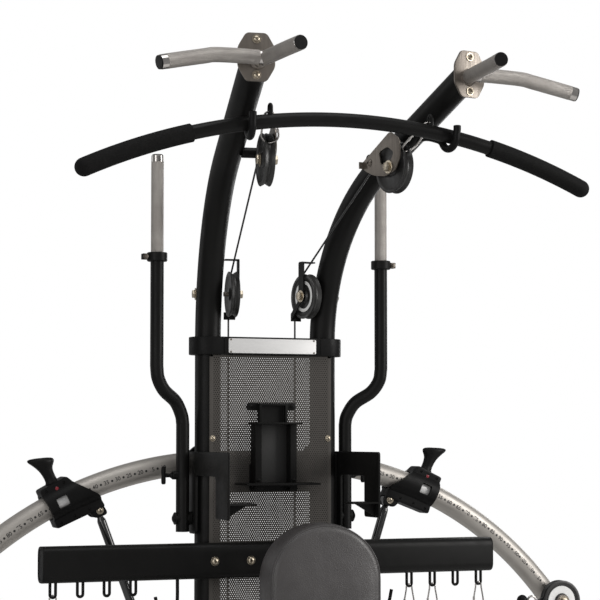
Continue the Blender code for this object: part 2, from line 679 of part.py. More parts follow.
def slider(side, sign, pivot):
    """The housing that slides on the rail, with the cheeks that hold the gas spring's eye."""
    half = 0.034
    corners = [on_arc(math.radians(a), r) for a, r in
               ((18.3, 0.774), (26.9, 0.774), (26.6, 0.800), (26.4, 0.862), (21.6, 0.862), (18.9, 0.806))]
    block = prism(rounded(corners, 0.008, 3), "Y", -half, half)
    eye = on_arc(SPRING_ANGLE, SPRING_TOP_R)
    cheek_outline = rounded([on_arc(math.radians(a), r) for a, r in
                             ((18.35, 0.740), (20.35, 0.740), (21.8, 0.782), (18.9, 0.782))], 0.006, 3)
    cheeks = [prism(cheek_outline, "Y", low, low + 0.005) for low in (-0.0165, 0.0115)]
    pin = moved(rod("Y", 0.0048, -0.019, 0.019, 8), (eye[0], 0, eye[1]))
    body = union(block, *cheeks, pin)
    tunnel = sweep(arc_path(math.radians(12), math.radians(34), 8), RAIL_R + 0.0030, 12)
    body = cut(body, tunnel)
    body.transform(Matrix.Rotation(SETTING[side], 4, "Y"))
    add(side + "_slider", mirrored(body, sign), "moulded_plastic", pivot)
    stem = turned([(0.8625, 0), (0.8625, 0.011), (0.880, 0.009), (0.905, 0.010), (0.905, 0)], "Z", 10)
    cap_profile = [(0.896, 0), (0.898, 0.011), (0.908, 0.016), (0.918, 0.0185), (0.926, 0.017),
                   (0.931, 0.009), (0.932, 0)]
    cap = turned(cap_profile, "Z", 10)
    thumb = box((-0.020, -0.012, 0.912), (0.034, 0.012, 0.931), 0.007)
    knob = union(stem, cap, thumb)
    knob.transform(Matrix.Rotation(KNOB_ANGLE + SETTING[side], 4, "Y"))
    add(side + "_selector_knob", mirrored(knob, sign), "moulded_plastic", pivot)


def gas_spring(side, sign, pivot):
    """A cylinder that hangs from the slider, open below, and its rod."""
    along = Matrix.Rotation(SPRING_ANGLE + SETTING[side], 4, "Y")
    top = SPRING_TOP_R
    bore_end = 0.560
    eye_profile = [(-0.008, 0.0053), (-0.008, 0.0125), (0.008, 0.0125), (0.008, 0.0053)]
    eye = moved(turned(eye_profile, "Y", 10), (0, 0, top))
    shape = union(gas_tube(top, bore_end), eye)
    shape = cut(shape, moved(rod("Y", 0.0053, -0.02, 0.02), (0, 0, top)))
    shape.transform(along)
    eye_x, eye_z = on_arc(SPRING_ANGLE + SETTING[side], SPRING_TOP_R)
    shape.transform(Matrix.Translation((-eye_x, 0, -eye_z)))
    add(side + "_gas_tube", mirrored(shape, sign), "gloss_cylinder", pivot, (sign * eye_x, 0, eye_z))
    lower_eye = turned([(-0.007, 0.0045), (-0.007, 0.012), (0.007, 0.012), (0.007, 0.0045)], "Y", 10)
    piston = union(rod("Z", 0.0045, 0.008, 0.380, 8), lower_eye)
    piston = cut(piston, rod("Y", 0.0045, -0.02, 0.02))
    piston.transform(along)
    add(side + "_gas_rod", mirrored(piston, sign), "chromed_rod", pivot)


def gas_tube(top, bore_end):
    """The cylinder's turned body, bored from its lower end."""
    profile = [(0.330, 0), (0.330, 0.0080), (0.334, 0.0095), (top - 0.024, 0.0095), (top - 0.016, 0.0070),
               (top - 0.006, 0.0070), (top - 0.006, 0)]
    return cut(turned(profile, "Z", 10), rod("Z", 0.0052, 0.320, bore_end, 8))


def lever(column):
    """The lever that the cables lift and the gas springs press down."""
    pivot = Vector((0, LEVER_Y, LEVER_Z))
    hub_tube = rod("X", 0.018, -0.0470, 0.0470, 12)
    reach = LEVER_BAR_Y - LEVER_Y
    drop = ARC_Z - LEVER_Z
    arm_outline = [(0.004, -0.014), (0.004, 0.014), (reach, drop + 0.012), (reach, drop - 0.012)]
    arm = prism(arm_outline, "X", -0.015, 0.015)
    cross = box((-0.095, reach - 0.012, drop - 0.0121), (0.095, reach + 0.012, drop + 0.0121), 0.002)
    bore = rod("X", 0.0085, -0.06, 0.06, 12)
    add("lever", cut(union(hub_tube, arm, cross), bore), "powder_coat", column, pivot)


# ---------------------------------------------------------------- leg developer
def roller(x_low, x_high, bore):
    """A foam roller with rounded shoulders and a bore."""
    shoulder = 0.006
    profile = [(x_low, bore), (x_low, ROLLER_R - shoulder), (x_low + shoulder, ROLLER_R),
               (x_high - shoulder, ROLLER_R), (x_high, ROLLER_R - shoulder), (x_high, bore)]
    return turned(profile, "X", 12)


def leg_developer(column):
    pivot = Vector((0, LEG_PIVOT_Y, LEG_PIVOT_Z))
    drop = ANKLE_Z - LEG_PIVOT_Z
    arm = box((-0.0200, -0.018, drop - 0.020), (0.0200, 0.018, 0.018), 0.004)
    shaft = moved(rod("X", SHAFT_R, -SHAFT_HALF, SHAFT_HALF), (0, 0, drop))
    bore = rod("X", 0.0075, -0.06, 0.06, 12)
    add("leg_arm", cut(union(arm, shaft), bore), "powder_coat", column, pivot)
    for side, sign in SIDES:
        low, high = sorted(sign * x for x in ROLLER_X)
        bore = SHAFT_R + 0.0006
        add(side + "_ankle_roller", roller(low, high, bore), "foam", column, (0, LEG_PIVOT_Y, ANKLE_Z))
        add(side + "_knee_roller", roller(low, high, bore), "foam", column, (0, KNEE_Y, KNEE_Z))


SIDES = (("left", -1), ("right", 1))


def build():
    for item in list(bpy.data.objects):
        bpy.data.objects.remove(item)
    column = datum("column", location=(0, COLUMN_Y, 0))
    collar(column)
    panel(column)
    cross_beam(column)
    accessory_bracket(column)
    base(column)
    seat_parts(column)
    hub(column)
    lever(column)
    leg_developer(column)
    lat_bar(column)
    for side, sign in SIDES:
        frame = datum(side + "_frame", column, (sign * UPRIGHT_X, 0, 0), sign * SPLAY)
        pivot = datum(side + "_arc_centre", column, (sign * ARC_X, ARC_Y, ARC_Z))
        upright(side, frame)
        pull_up_handle(side, sign, frame)
        bar_hook(side, sign, frame)
        top_pulley(side, sign, frame)
        mid_pulley(side, sign, frame)
        cable(side, sign, frame)
        arm_bracket(side, sign, column)
        dip_arm(side, sign, column)
        arc_rail(side, sign, pivot)
        end_pulley(side, sign, pivot)
        slider(side, sign, pivot)
        gas_spring(side, sign, pivot)


build()
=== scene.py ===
"""Looks of the functional trainer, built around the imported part.

Metres, +Z up, -Y the front. Most shapes are made in one of three local spaces: the column's, a bent tube's
own plane (x outward, -y forward) or the plane round an arc rail's centre. Sub-parts that come in pairs are
drawn for the right side and mirrored for the left.
"""

import math

import bmesh
import bpy
import numpy as np
from mathutils import Matrix, Vector, noise


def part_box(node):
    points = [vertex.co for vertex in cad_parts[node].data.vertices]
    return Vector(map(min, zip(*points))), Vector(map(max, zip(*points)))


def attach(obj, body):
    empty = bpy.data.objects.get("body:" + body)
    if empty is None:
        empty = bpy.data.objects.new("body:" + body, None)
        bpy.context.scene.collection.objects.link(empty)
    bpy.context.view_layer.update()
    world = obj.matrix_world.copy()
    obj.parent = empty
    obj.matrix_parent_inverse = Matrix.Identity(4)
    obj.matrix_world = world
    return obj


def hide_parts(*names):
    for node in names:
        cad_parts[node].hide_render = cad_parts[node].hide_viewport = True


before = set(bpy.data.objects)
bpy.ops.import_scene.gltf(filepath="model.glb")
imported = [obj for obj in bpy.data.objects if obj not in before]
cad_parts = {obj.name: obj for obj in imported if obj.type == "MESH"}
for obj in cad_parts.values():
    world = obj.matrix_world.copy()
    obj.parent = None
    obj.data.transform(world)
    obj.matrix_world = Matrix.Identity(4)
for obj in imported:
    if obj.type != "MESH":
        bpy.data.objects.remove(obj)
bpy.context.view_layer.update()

SIDES = (("left", -1), ("right", 1))


def middle(node):
    low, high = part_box(node)
    return (low + high) / 2


def extent(node):
    low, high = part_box(node)
    return high - low


# ---------------------------------------------------------------- sizes
COLUMN_Y = middle("rear_foot").y
UPRIGHT_X = 0.132
UPRIGHT_R = 0.0275
SPLAY = math.radians(10)
BEND_Z = 1.50
BEND_R = 0.41
BEND_ANGLE = math.radians(64)
TUBE_REACH = 0.512
FOOT_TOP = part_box("rear_foot")[1].z

HANDLE_R = 0.014
PLATE_Z = 2.0125            # middle of the pull-up plates
PLATE_BACK = 0.5246         # forward reach of the plates' back

ARC_X = 0.08
ARC_Y = middle("right_arc_rail").y - COLUMN_Y
ARC_Z = 0.43
ARC_R = 0.82
RAIL_R = 0.024
RAIL_SPAN = (math.radians(-4.6), math.radians(54.6))
SCALE_ZERO = math.radians(6.04)      # where the scale's 0 would be, from straight up
SCALE_STEP = math.radians(0.36)      # one unit of the scale
END_PULLEY_ANGLE = math.radians(52.6)
SPRING_ANGLE = math.radians(19.34)
SPRING_TOP_R = 0.770
KNOB_ANGLE = math.radians(24.1)
# How far outward of its drawn place each slider stands at rest.
SETTING = {"left": math.radians(1.5), "right": math.radians(-1.5)}
KNOB_ROOT = 0.8625

TOP_PULLEY = (-0.0536, 0.350, 1.846)      # outward, forward, up, in a tube's own plane
MID_PULLEY = (-0.0500, 0.0139, 1.6058)
TOP_PULLEY_R = extent("right_top_pulley").z / 2
MID_PULLEY_R = extent("right_mid_pulley").z / 2
END_PULLEY_R = extent("right_end_pulley").z / 2
PULLEY_W = 0.020
GROOVE = 0.0048
CABLE_R = 0.002

# Directions a bolt's head can face, for the right side where it matters.
FORWARD, UP = (0, -1, 0), (0, 0, 1)
INWARD, OUTWARD = (-1, 0, 0), (1, 0, 0)

LAT_Y = middle("lat_bar").y - COLUMN_Y
LAT_Z = 1.9165
LAT_BOW_R = 1.27
LAT_GRIP_X = 0.315
LAT_END_X = 0.542
LAT_SLIDE = -0.014          # the bar hangs this far along its own bow
HOOK_OUT = -0.001           # the bar hooks' distance outward of the upright's plane; negative is inward
HOOK_ROOT = 0.318           # forward reach at which a hook's rod leaves the upright
LAT_GRIP_R = 0.0178
EYELET_X = 0.170

DIP_X = 0.187
DIP_Y = 0.002
DIP_UPPER_X = middle("right_dip_handle").x
DIP_UPPER_Y = middle("right_dip_handle").y - COLUMN_Y
DIP_PIVOT_Z = 1.132
PIN_Z = middle("right_pull_pin").z
DIP_TOP_Z = 1.672
HANDLE_TOP_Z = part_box("right_dip_handle")[1].z

BEAM_HALF = extent("cross_beam").x / 2
BEAM_H = extent("cross_beam").z
BEAM_D = extent("cross_beam").y
BEAM_CENTRE = middle("cross_beam") - Vector((0, COLUMN_Y, 0))
BEAM_BOTTOM = BEAM_CENTRE.z - BEAM_H / 2

PANEL_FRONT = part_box("mesh_panel")[0].y - COLUMN_Y
PANEL_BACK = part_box("mesh_panel")[1].y - COLUMN_Y
PANEL_HALF = extent("mesh_panel").x / 2
PANEL_Z = (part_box("mesh_panel")[0].z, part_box("mesh_panel")[1].z)
HOLE_PITCH = 0.005
HOLE_R = 0.00124

COLUMN = Matrix.Translation((0, COLUMN_Y, 0))
MIRROR = Matrix.Diagonal((-1, 1, 1, 1))


def tube_space(sign):
    """The plane of one bent tube: x outward, -y forward."""
    return COLUMN @ Matrix.Translation((sign * UPRIGHT_X, 0, 0)) @ Matrix.Rotation(sign * SPLAY, 4, "Z")


def arc_space(sign):
    """The space round one arc rail's centre."""
    return COLUMN @ Matrix.Translation((sign * ARC_X, ARC_Y, ARC_Z))


def slider_space(side, sign):
    """An arc rail's space turned to where its slider stands."""
    return arc_space(sign) @ Matrix.Rotation(sign * SETTING[side], 4, "Y")


def bar_space():
    """The column's space with the lat bar's slide along its bow."""
    centre = Matrix.Translation((0, LAT_Y, LAT_Z - LAT_BOW_R))
    return COLUMN @ centre @ Matrix.Rotation(LAT_SLIDE / LAT_BOW_R, 4, "Y") @ centre.inverted()


# ---------------------------------------------------------------- node helpers
class Nodes:
    """A material's node tree with short calls for what the finishes share."""

    def __init__(self, name, colour, roughness, metallic=0.0):
        self.material = bpy.data.materials.new(name)
        self.material.use_nodes = True
        self.tree = self.material.node_tree
        self.shader = self.tree.nodes["Principled BSDF"]
        self.set("Base Color", (*colour, 1.0))
        self.set("Roughness", roughness)
        self.set("Metallic", metallic)
        self.place = self.tree.nodes.new("ShaderNodeTexCoord").outputs["Object"]
        self.height = None

    def set(self, socket, value):
        self.shader.inputs[socket].default_value = value

    def link(self, source, target):
        self.tree.links.new(source, target)

    def stretch(self, scale):
        """Object coordinates scaled by axis."""
        node = self.tree.nodes.new("ShaderNodeMapping")
        node.inputs["Scale"].default_value = scale
        self.link(self.place, node.inputs["Vector"])
        return node.outputs["Vector"]

    def noise(self, scale, detail=3.0, place=None):
        node = self.tree.nodes.new("ShaderNodeTexNoise")
        node.inputs["Scale"].default_value = scale
        node.inputs["Detail"].default_value = detail
        self.link(place or self.place, node.inputs["Vector"])
        return node.outputs["Fac"]

    def cells(self, scale, feature="F1"):
        node = self.tree.nodes.new("ShaderNodeTexVoronoi")
        node.feature = feature
        node.inputs["Scale"].default_value = scale
        self.link(self.place, node.inputs["Vector"])
        return node.outputs["Distance"]

    def maths(self, operation, a, b=None):
        node = self.tree.nodes.new("ShaderNodeMath")
        node.operation = operation
        for socket, value in zip(node.inputs, (a, b)):
            if isinstance(value, (int, float)):
                socket.default_value = value
            elif value is not None:
                self.link(value, socket)
        return node.outputs[0]

    def spread(self, source, low, high, out_low, out_high):
        """The source's low to high range turned into an output range."""
        node = self.tree.nodes.new("ShaderNodeMapRange")
        self.link(source, node.inputs["Value"])
        for name, value in (("From Min", low), ("From Max", high), ("To Min", out_low), ("To Max", out_high)):
            node.inputs[name].default_value = value
        return node.outputs["Result"]

    def mix(self, factor, a, b):
        """A blend of two colours."""
        node = self.tree.nodes.new("ShaderNodeMix")
        node.data_type = "RGBA"
        self.link(factor, node.inputs["Factor"])
        node.inputs["A"].default_value = (*a, 1.0)
        node.inputs["B"].default_value = (*b, 1.0)
        return node.outputs["Result"]

    def colour(self, factor, a, b):
        self.link(self.mix(factor, a, b), self.shader.inputs["Base Color"])

    def rough(self, source, low, high):
        self.link(self.spread(source, 0.3, 0.7, low, high), self.shader.inputs["Roughness"])

    def grain(self, scale, detail, strength, distance):
        """Relief from noise."""
        self.bump(self.noise(scale, detail), strength, distance)

    def bump(self, source, strength, distance):
        """One more layer of relief under the shader."""
        node = self.tree.nodes.new("ShaderNodeBump")
        node.inputs["Strength"].default_value = strength
        node.inputs["Distance"].default_value = distance
        self.link(source, node.inputs["Height"])
        if self.height:
            self.link(self.height, node.inputs["Normal"])
        self.height = node.outputs["Normal"]
        self.link(self.height, self.shader.inputs["Normal"])

    def surface(self):
        """The place along and round a swept bar, in metres."""
        node = self.tree.nodes.new("ShaderNodeUVMap")
        node.uv_map = "surface"
        split = self.tree.nodes.new("ShaderNodeSeparateXYZ")
        self.link(node.outputs["UV"], split.inputs["Vector"])
        return split.outputs["X"], split.outputs["Y"]


# ---------------------------------------------------------------- finishes
def powder_coat(name="powder_coat", dark=(0.0045, 0.0045, 0.0045), light=(0.0095, 0.0092, 0.0088)):
    """Satin black powder coat: orange peel, faint dust and handling marks."""
    n = Nodes(name, dark, 0.42)
    n.colour(n.noise(7, 6), dark, light)
    n.rough(n.noise(30, 5), 0.33, 0.46)
    n.set("Specular IOR Level", 0.11)
    n.grain(900, 2, 0.28, 0.0002)
    n.grain(260, 2, 0.16, 0.0004)
    return n.material


def perforated_sheet():
    return powder_coat("perforated_sheet", (0.058, 0.0535, 0.049), (0.075, 0.0695, 0.064))


def moulded_plastic(name="moulded_plastic", dark=(0.0040, 0.0040, 0.0041), light=(0.0080, 0.0079, 0.0078)):
    """Black plastic with a fine spark-eroded grain."""
    n = Nodes(name, dark, 0.45)
    n.colour(n.noise(12, 5), dark, light)
    n.rough(n.noise(60, 4), 0.36, 0.50)
    n.set("Specular IOR Level", 0.10)
    n.bump(n.cells(1500), 0.22, 0.00025)
    return n.material


def pulley_nylon():
    n = Nodes("pulley_nylon", (0.012, 0.012, 0.012), 0.4)
    n.colour(n.noise(25, 5), (0.008, 0.008, 0.008), (0.020, 0.019, 0.018))
    n.rough(n.noise(90, 4), 0.30, 0.50)
    n.grain(700, 3, 0.15, 0.0003)
    return n.material


def knurled_chrome():
    """Chrome with a diamond knurl that follows the bar."""
    n = Nodes("knurled_chrome", (0.36, 0.335, 0.31), 0.45, 0.8)
    n.colour(n.noise(40, 4), (0.27, 0.25, 0.232), (0.42, 0.395, 0.37))
    n.rough(n.noise(500, 3), 0.36, 0.52)
    around, along = n.surface()
    pitch = 0.0016
    rising = n.maths("PINGPONG", n.maths("MULTIPLY", n.maths("ADD", around, along), 1 / pitch), 0.5)
    falling = n.maths("PINGPONG", n.maths("MULTIPLY", n.maths("SUBTRACT", around, along), 1 / pitch), 0.5)
    n.bump(n.maths("MINIMUM", rising, falling), 1.0, 0.0007)
    return n.material


def plain_chrome(name="plain_chrome", low=0.10, high=0.22):
    """Polished plating with hairline scratches."""
    n = Nodes(name, (0.46, 0.44, 0.42), 0.15, 1.0)
    n.colour(n.noise(60, 4), (0.38, 0.36, 0.345), (0.54, 0.52, 0.50))
    n.rough(n.noise(400, 4, n.stretch((1, 1, 0.1))), low, high)
    n.bump(n.noise(900, 2, n.stretch((1, 0.05, 1))), 0.06, 0.0002)
    return n.material


def chromed_rod():
    return plain_chrome("chromed_rod", 0.05, 0.14)


def plated_steel():
    """Brushed nickel plate, a little warm."""
    n = Nodes("plated_steel", (0.26, 0.235, 0.21), 0.42, 0.9)
    n.colour(n.noise(18, 5), (0.14, 0.122, 0.105), (0.24, 0.215, 0.19))
    n.rough(n.noise(300, 4, n.stretch((1, 1, 0.06))), 0.32, 0.50)
    n.bump(n.noise(700, 3, n.stretch((1, 1, 0.04))), 0.22, 0.0003)
    return n.material


def zinc():
    """Yellowish zinc plating of the bolts and nuts."""
    n = Nodes("zinc", (0.40, 0.35, 0.27), 0.3, 1.0)
    n.colour(n.noise(150, 5), (0.30, 0.26, 0.20), (0.52, 0.46, 0.37))
    n.rough(n.noise(300, 3), 0.22, 0.40)
    n.grain(900, 2, 0.12, 0.0002)
    return n.material


def silver_rail():
    """Silver lacquer over drawn tube: fine metallic flake and lines along the draw."""
    n = Nodes("silver_rail", (0.34, 0.32, 0.30), 0.42, 0.7)
    n.colour(n.cells(1600), (0.44, 0.415, 0.385), (0.36, 0.34, 0.315))
    n.rough(n.noise(25, 5), 0.42, 0.52)
    around, along = n.surface()
    place = n.tree.nodes.new("ShaderNodeCombineXYZ")
    n.link(around, place.inputs["X"])
    n.link(along, place.inputs["Y"])
    stretched = n.tree.nodes.new("ShaderNodeMapping")
    stretched.inputs["Scale"].default_value = (1, 0.02, 1)
    n.link(place.outputs["Vector"], stretched.inputs["Vector"])
    n.bump(n.noise(300, 2, stretched.outputs["Vector"]), 0.012, 0.0001)
    return n.material


def gloss_cylinder():
    n = Nodes("gloss_cylinder", (0.008, 0.008, 0.009), 0.14)
    n.colour(n.noise(15, 5), (0.006, 0.006, 0.0065), (0.013, 0.013, 0.013))
    n.rough(n.noise(50, 5), 0.08, 0.24)
    n.set("Coat Weight", 0.5)
    n.set("Coat Roughness", 0.06)
    n.grain(300, 2, 0.04, 0.0003)
    return n.material


def foam():
    """Closed-cell foam: open pores and a matt skin."""
    n = Nodes("foam", (0.004, 0.004, 0.004), 0.75)
    n.colour(n.noise(90, 6), (0.0030, 0.0030, 0.0030), (0.0085, 0.0082, 0.0080))
    n.rough(n.noise(400, 3), 0.60, 0.82)
    n.set("Specular IOR Level", 0.10)
    n.bump(n.cells(1300), 0.45, 0.0004)
    n.grain(160, 4, 0.25, 0.0008)
    return n.material


def leather():
    """Black upholstery leather: pebbled grain, pores and soft wear."""
    n = Nodes("leather", (0.03, 0.028, 0.028), 0.45)
    n.colour(n.noise(11, 6), (0.034, 0.0312, 0.0312), (0.058, 0.0535, 0.0535))
    n.rough(n.noise(35, 5), 0.36, 0.52)
    n.set("Specular IOR Level", 0.55)
    n.bump(n.cells(520, "SMOOTH_F1"), 0.55, 0.0006)
    n.grain(1500, 3, 0.25, 0.0003)
    n.grain(55, 3, 0.20, 0.0012)
    return n.material


def thread():
    """Twisted sewing thread."""
    n = Nodes("thread", (0.035, 0.034, 0.034), 0.7)
    n.colour(n.noise(900, 4), (0.018, 0.018, 0.018), (0.055, 0.053, 0.052))
    n.grain(2500, 2, 0.4, 0.0002)
    n.set("Sheen Weight", 0.3)
    return n.material


def cable_jacket():
    """Black nylon jacket over wire rope: the lay shows through faintly."""
    n = Nodes("cable_jacket", (0.012, 0.012, 0.012), 0.35)
    n.colour(n.noise(200, 4), (0.008, 0.008, 0.008), (0.020, 0.020, 0.020))
    around, along = n.surface()
    lay = n.maths("PINGPONG", n.maths("MULTIPLY", n.maths("ADD", around, along), 1 / 0.004), 0.5)
    n.bump(lay, 0.35, 0.0003)
    return n.material


def label_ring():
    """A plain white label on a pulley's face."""
    n = Nodes("label_ring", (0.72, 0.72, 0.71), 0.35)
    n.colour(n.noise(120, 4), (0.66, 0.66, 0.65), (0.80, 0.80, 0.79))
    n.rough(n.noise(200, 3), 0.28, 0.42)
    n.grain(600, 2, 0.05, 0.0002)
    return n.material


def name_plate():
    """Blank brushed plate with a clear lacquer."""
    n = Nodes("name_plate", (0.66, 0.655, 0.65), 0.4, 0.25)
    n.colour(n.noise(9, 3), (0.60, 0.595, 0.59), (0.72, 0.715, 0.71))
    n.rough(n.noise(900, 3, n.stretch((0.03, 1, 1))), 0.34, 0.46)
    n.bump(n.noise(900, 3, n.stretch((0.02, 1, 1))), 0.03, 0.0001)
    return n.material


# Black for the printed scale, and for the painted shade sheet in the accessory holder's channel.
def print_black():
    n = Nodes("print_black", (0.010, 0.010, 0.010), 0.5)
    n.colour(n.noise(700, 3), (0.006, 0.006, 0.006), (0.030, 0.029, 0.028))
    return n.material


def red_lens():
    n = Nodes("red_lens", (0.28, 0.012, 0.02), 0.2)
    n.colour(n.noise(500, 2), (0.15, 0.006, 0.012), (0.24, 0.012, 0.022))
    n.set("Coat Weight", 0.6)
    return n.material


def foot_rubber():
    n = Nodes("foot_rubber", (0.02, 0.02, 0.02), 0.8)
    n.colour(n.noise(80, 5), (0.012, 0.012, 0.012), (0.035, 0.034, 0.033))
    n.rough(n.noise(200, 4), 0.65, 0.90)
    n.grain(500, 4, 0.4, 0.0006)
    return n.material


def pale_floor():
    """Matt white floor that fades out towards its rim."""
    n = Nodes("pale_floor", (0.82, 0.82, 0.815), 0.7)
    n.colour(n.noise(3, 5), (0.80, 0.80, 0.795), (0.84, 0.84, 0.835))
    n.grain(60, 4, 0.05, 0.001)
    distance = n.tree.nodes.new("ShaderNodeVectorMath")
    distance.operation = "LENGTH"
    n.link(n.place, distance.inputs[0])
    fade = n.spread(distance.outputs["Value"], 1.6, 3.4, 0.0, 1.0)
    clear = n.tree.nodes.new("ShaderNodeBsdfTransparent")
    blend = n.tree.nodes.new("ShaderNodeMixShader")
    n.link(fade, blend.inputs["Fac"])
    n.link(n.shader.outputs["BSDF"], blend.inputs[1])
    n.link(clear.outputs["BSDF"], blend.inputs[2])
    n.link(blend.outputs["Shader"], n.tree.nodes["Material Output"].inputs["Surface"])
    return n.material


FINISHES = {make.__name__: make for make in (
    powder_coat, perforated_sheet, moulded_plastic, pulley_nylon, knurled_chrome, plain_chrome, chromed_rod,
    plated_steel, zinc, silver_rail, gloss_cylinder, foam, leather, thread, cable_jacket, label_ring,
    name_plate, print_black, red_lens, foot_rubber, pale_floor)}
made_finishes = {}


def finish(name):
    if name not in made_finishes:
        made_finishes[name] = FINISHES[name]()
    return made_finishes[name]


# ---------------------------------------------------------------- mesh helpers
def to_mesh(bm):
    bmesh.ops.recalc_face_normals(bm, faces=bm.faces)
    mesh = bpy.data.meshes.new("shape")
    bm.to_mesh(mesh)
    bm.free()
    return mesh


def piece(name, mesh, look, body="frame", space=None, sign=1, stands_for=(), sharp=32):
    """A finished piece that rides on a body.

    The shape is mirrored where sign is negative and then moved to its space. stands_for lists the CAD nodes
    it takes the place of, and edges steeper than sharp degrees stay sharp.
    """
    if sign < 0:
        mesh.transform(MIRROR)
        mesh.flip_normals()
    mesh.transform(space or COLUMN)
    mesh.materials.clear()
    mesh.materials.append(finish(look))
    mesh.shade_smooth()
    mesh.set_sharp_from_angle(angle=math.radians(sharp))
    item = bpy.data.objects.new(name, mesh)
    bpy.context.scene.collection.objects.link(item)
    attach(item, body)
    if stands_for:
        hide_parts(*stands_for)
    return item


def sweep(points, radius, sides=32, closed=False):
    """A bar along a path, with its place round and along it as a UV map.

    radius is one value or one for each point.
    """
    path = [Vector(p) for p in points]
    count = len(path)
    radii = radius if isinstance(radius, (list, tuple)) else [radius] * count
    bm = bmesh.new()
    rings = []
    lengths = [0.0]
    normal = None
    for i, point in enumerate(path):
        before = path[i - 1] if closed or i else path[0]
        after = path[(i + 1) % count] if closed or i < count - 1 else path[-1]
        tangent = (after - before).normalized()
        if normal is None:
            normal = tangent.orthogonal().normalized()
        normal = (normal - tangent * normal.dot(tangent)).normalized()
        side = tangent.cross(normal)
        ring = []
        for turn in [math.tau * k / sides for k in range(sides)]:
            ring.append(bm.verts.new(point + radii[i] * (math.cos(turn) * normal + math.sin(turn) * side)))
        rings.append(ring)
        if i:
            lengths.append(lengths[-1] + (point - path[i - 1]).length)
    width = math.tau * max(radii) / sides
    surface = bm.loops.layers.uv.new("surface")
    stretches = list(zip(range(count - 1), range(1, count)))
    if closed:
        stretches.append((count - 1, 0))
        lengths.append(lengths[-1] + (path[0] - path[-1]).length)
    for a, b in stretches:
        end = lengths[b] if b else lengths[-1]
        for k in range(sides):
            j = (k + 1) % sides
            face = bm.faces.new((rings[a][k], rings[a][j], rings[b][j], rings[b][k]))
            places = ((k, lengths[a]), (k + 1, lengths[a]), (k + 1, end), (k, end))
            for loop, (step, along) in zip(face.loops, places):
                loop[surface].uv = (step * width, along)
    if not closed:
        bm.faces.new(rings[0])
        bm.faces.new(rings[-1])
    return to_mesh(bm)


def turned(profile, axis="Z", sides=48, centre=(0, 0, 0)):
    """A profile of (along, radius) pairs turned about an axis.

    A profile that meets the axis at neither end closes into a ring.
    """
    def place(along, radius, turn):
        a, b = radius * math.cos(turn), radius * math.sin(turn)
        return Vector({"X": (along, a, b), "Y": (a, along, b), "Z": (a, b, along)}[axis]) + Vector(centre)

    bm = bmesh.new()
    rows = []
    for along, radius in profile:
        steps = 1 if radius == 0 else sides
        rows.append([bm.verts.new(place(along, radius, math.tau * k / sides)) for k in range(steps)])
    pairs = list(zip(rows, rows[1:]))
    if profile[0][1] > 0 and profile[-1][1] > 0:
        pairs.append((rows[-1], rows[0]))
    for first, second in pairs:
        for k in range(sides):
            j = (k + 1) % sides
            corners = [row[i % len(row)] for row, i in ((first, k), (first, j), (second, j), (second, k))]
            face = list(dict.fromkeys(corners))
            if len(face) > 2:
                bm.faces.new(face)
    return to_mesh(bm)


def rod(axis, radius, low, high, centre=(0, 0, 0), sides=32, edge=0.0006):
    """A round bar with eased ends."""
    profile = [(low, 0), (low, radius - edge), (low + edge, radius),
               (high - edge, radius), (high, radius - edge), (high, 0)]
    return turned(profile, axis, sides, centre)


def prism(outline, axis, low, high, edge=0.0008):
    """An outline pushed along an axis, with eased rims.

    Along X the outline is (y, z), along Y (x, z) and along Z (x, y).
    """
    def place(point, along):
        a, b = point
        return {"X": (along, a, b), "Y": (a, along, b), "Z": (a, b, along)}[axis]

    bm = bmesh.new()
    bottom = [bm.verts.new(place(p, low)) for p in outline]
    top = [bm.verts.new(place(p, high)) for p in outline]
    count = len(outline)
    caps = [bm.faces.new(bottom), bm.faces.new(top)]
    for i in range(count):
        j = (i + 1) % count
        bm.faces.new((bottom[i], bottom[j], top[j], top[i]))
    bmesh.ops.recalc_face_normals(bm, faces=bm.faces)
    if edge:
        rims = list({e for cap in caps for e in cap.edges})
        bmesh.ops.bevel(bm, geom=rims, offset=edge, segments=2, affect="EDGES", profile=0.6)
    return to_mesh(bm)


def block(low, high, edge=0.0012, segments=3):
    """A block between two corners with rounded edges."""
    bm = bmesh.new()
    bmesh.ops.create_cube(bm, size=1.0)
    bmesh.ops.scale(bm, vec=[b - a for a, b in zip(low, high)], verts=bm.verts)
    bmesh.ops.translate(bm, vec=[(a + b) / 2 for a, b in zip(low, high)], verts=bm.verts)
    bmesh.ops.bevel(bm, geom=bm.edges[:], offset=edge, segments=segments, affect="EDGES", profile=0.6)
    return to_mesh(bm)


def loft(rings):
    """Rings of points joined one to the next and closed at both ends."""
    bm = bmesh.new()
    rows = [[bm.verts.new(p) for p in ring] for ring in rings]
    for first, second in zip(rows, rows[1:]):
        for k in range(len(first)):
            j = (k + 1) % len(first)
            bm.faces.new((first[k], first[j], second[j], second[k]))
    bm.faces.new(rows[0])
    bm.faces.new(rows[-1])
    return to_mesh(bm)


def combined(base, others, operation):
    """A solid after one boolean operation with each of the others in turn."""
    def temporary(mesh):
        item = bpy.data.objects.new("temporary", mesh)
        bpy.context.scene.collection.objects.link(item)
        return item

    body = temporary(base)
    tools = [temporary(mesh) for mesh in others]
    for tool in tools:
        modifier = body.modifiers.new("boolean", "BOOLEAN")
        modifier.operation = operation
        modifier.solver = "EXACT"
        modifier.object = tool
    result = bpy.data.meshes.new_from_object(body.evaluated_get(bpy.context.evaluated_depsgraph_get()))
    for item in [body, *tools]:
        bpy.data.objects.remove(item)
    return result


def union(base, *others):
    return combined(base, others, "UNION")


def cut(base, *others):
    return combined(base, others, "DIFFERENCE")


def together(*meshes):
    """Several separate shells as one mesh."""
    bm = bmesh.new()
    for mesh in meshes:
        bm.from_mesh(mesh)
    result = bpy.data.meshes.new("shape")
    bm.to_mesh(result)
    bm.free()
    return result


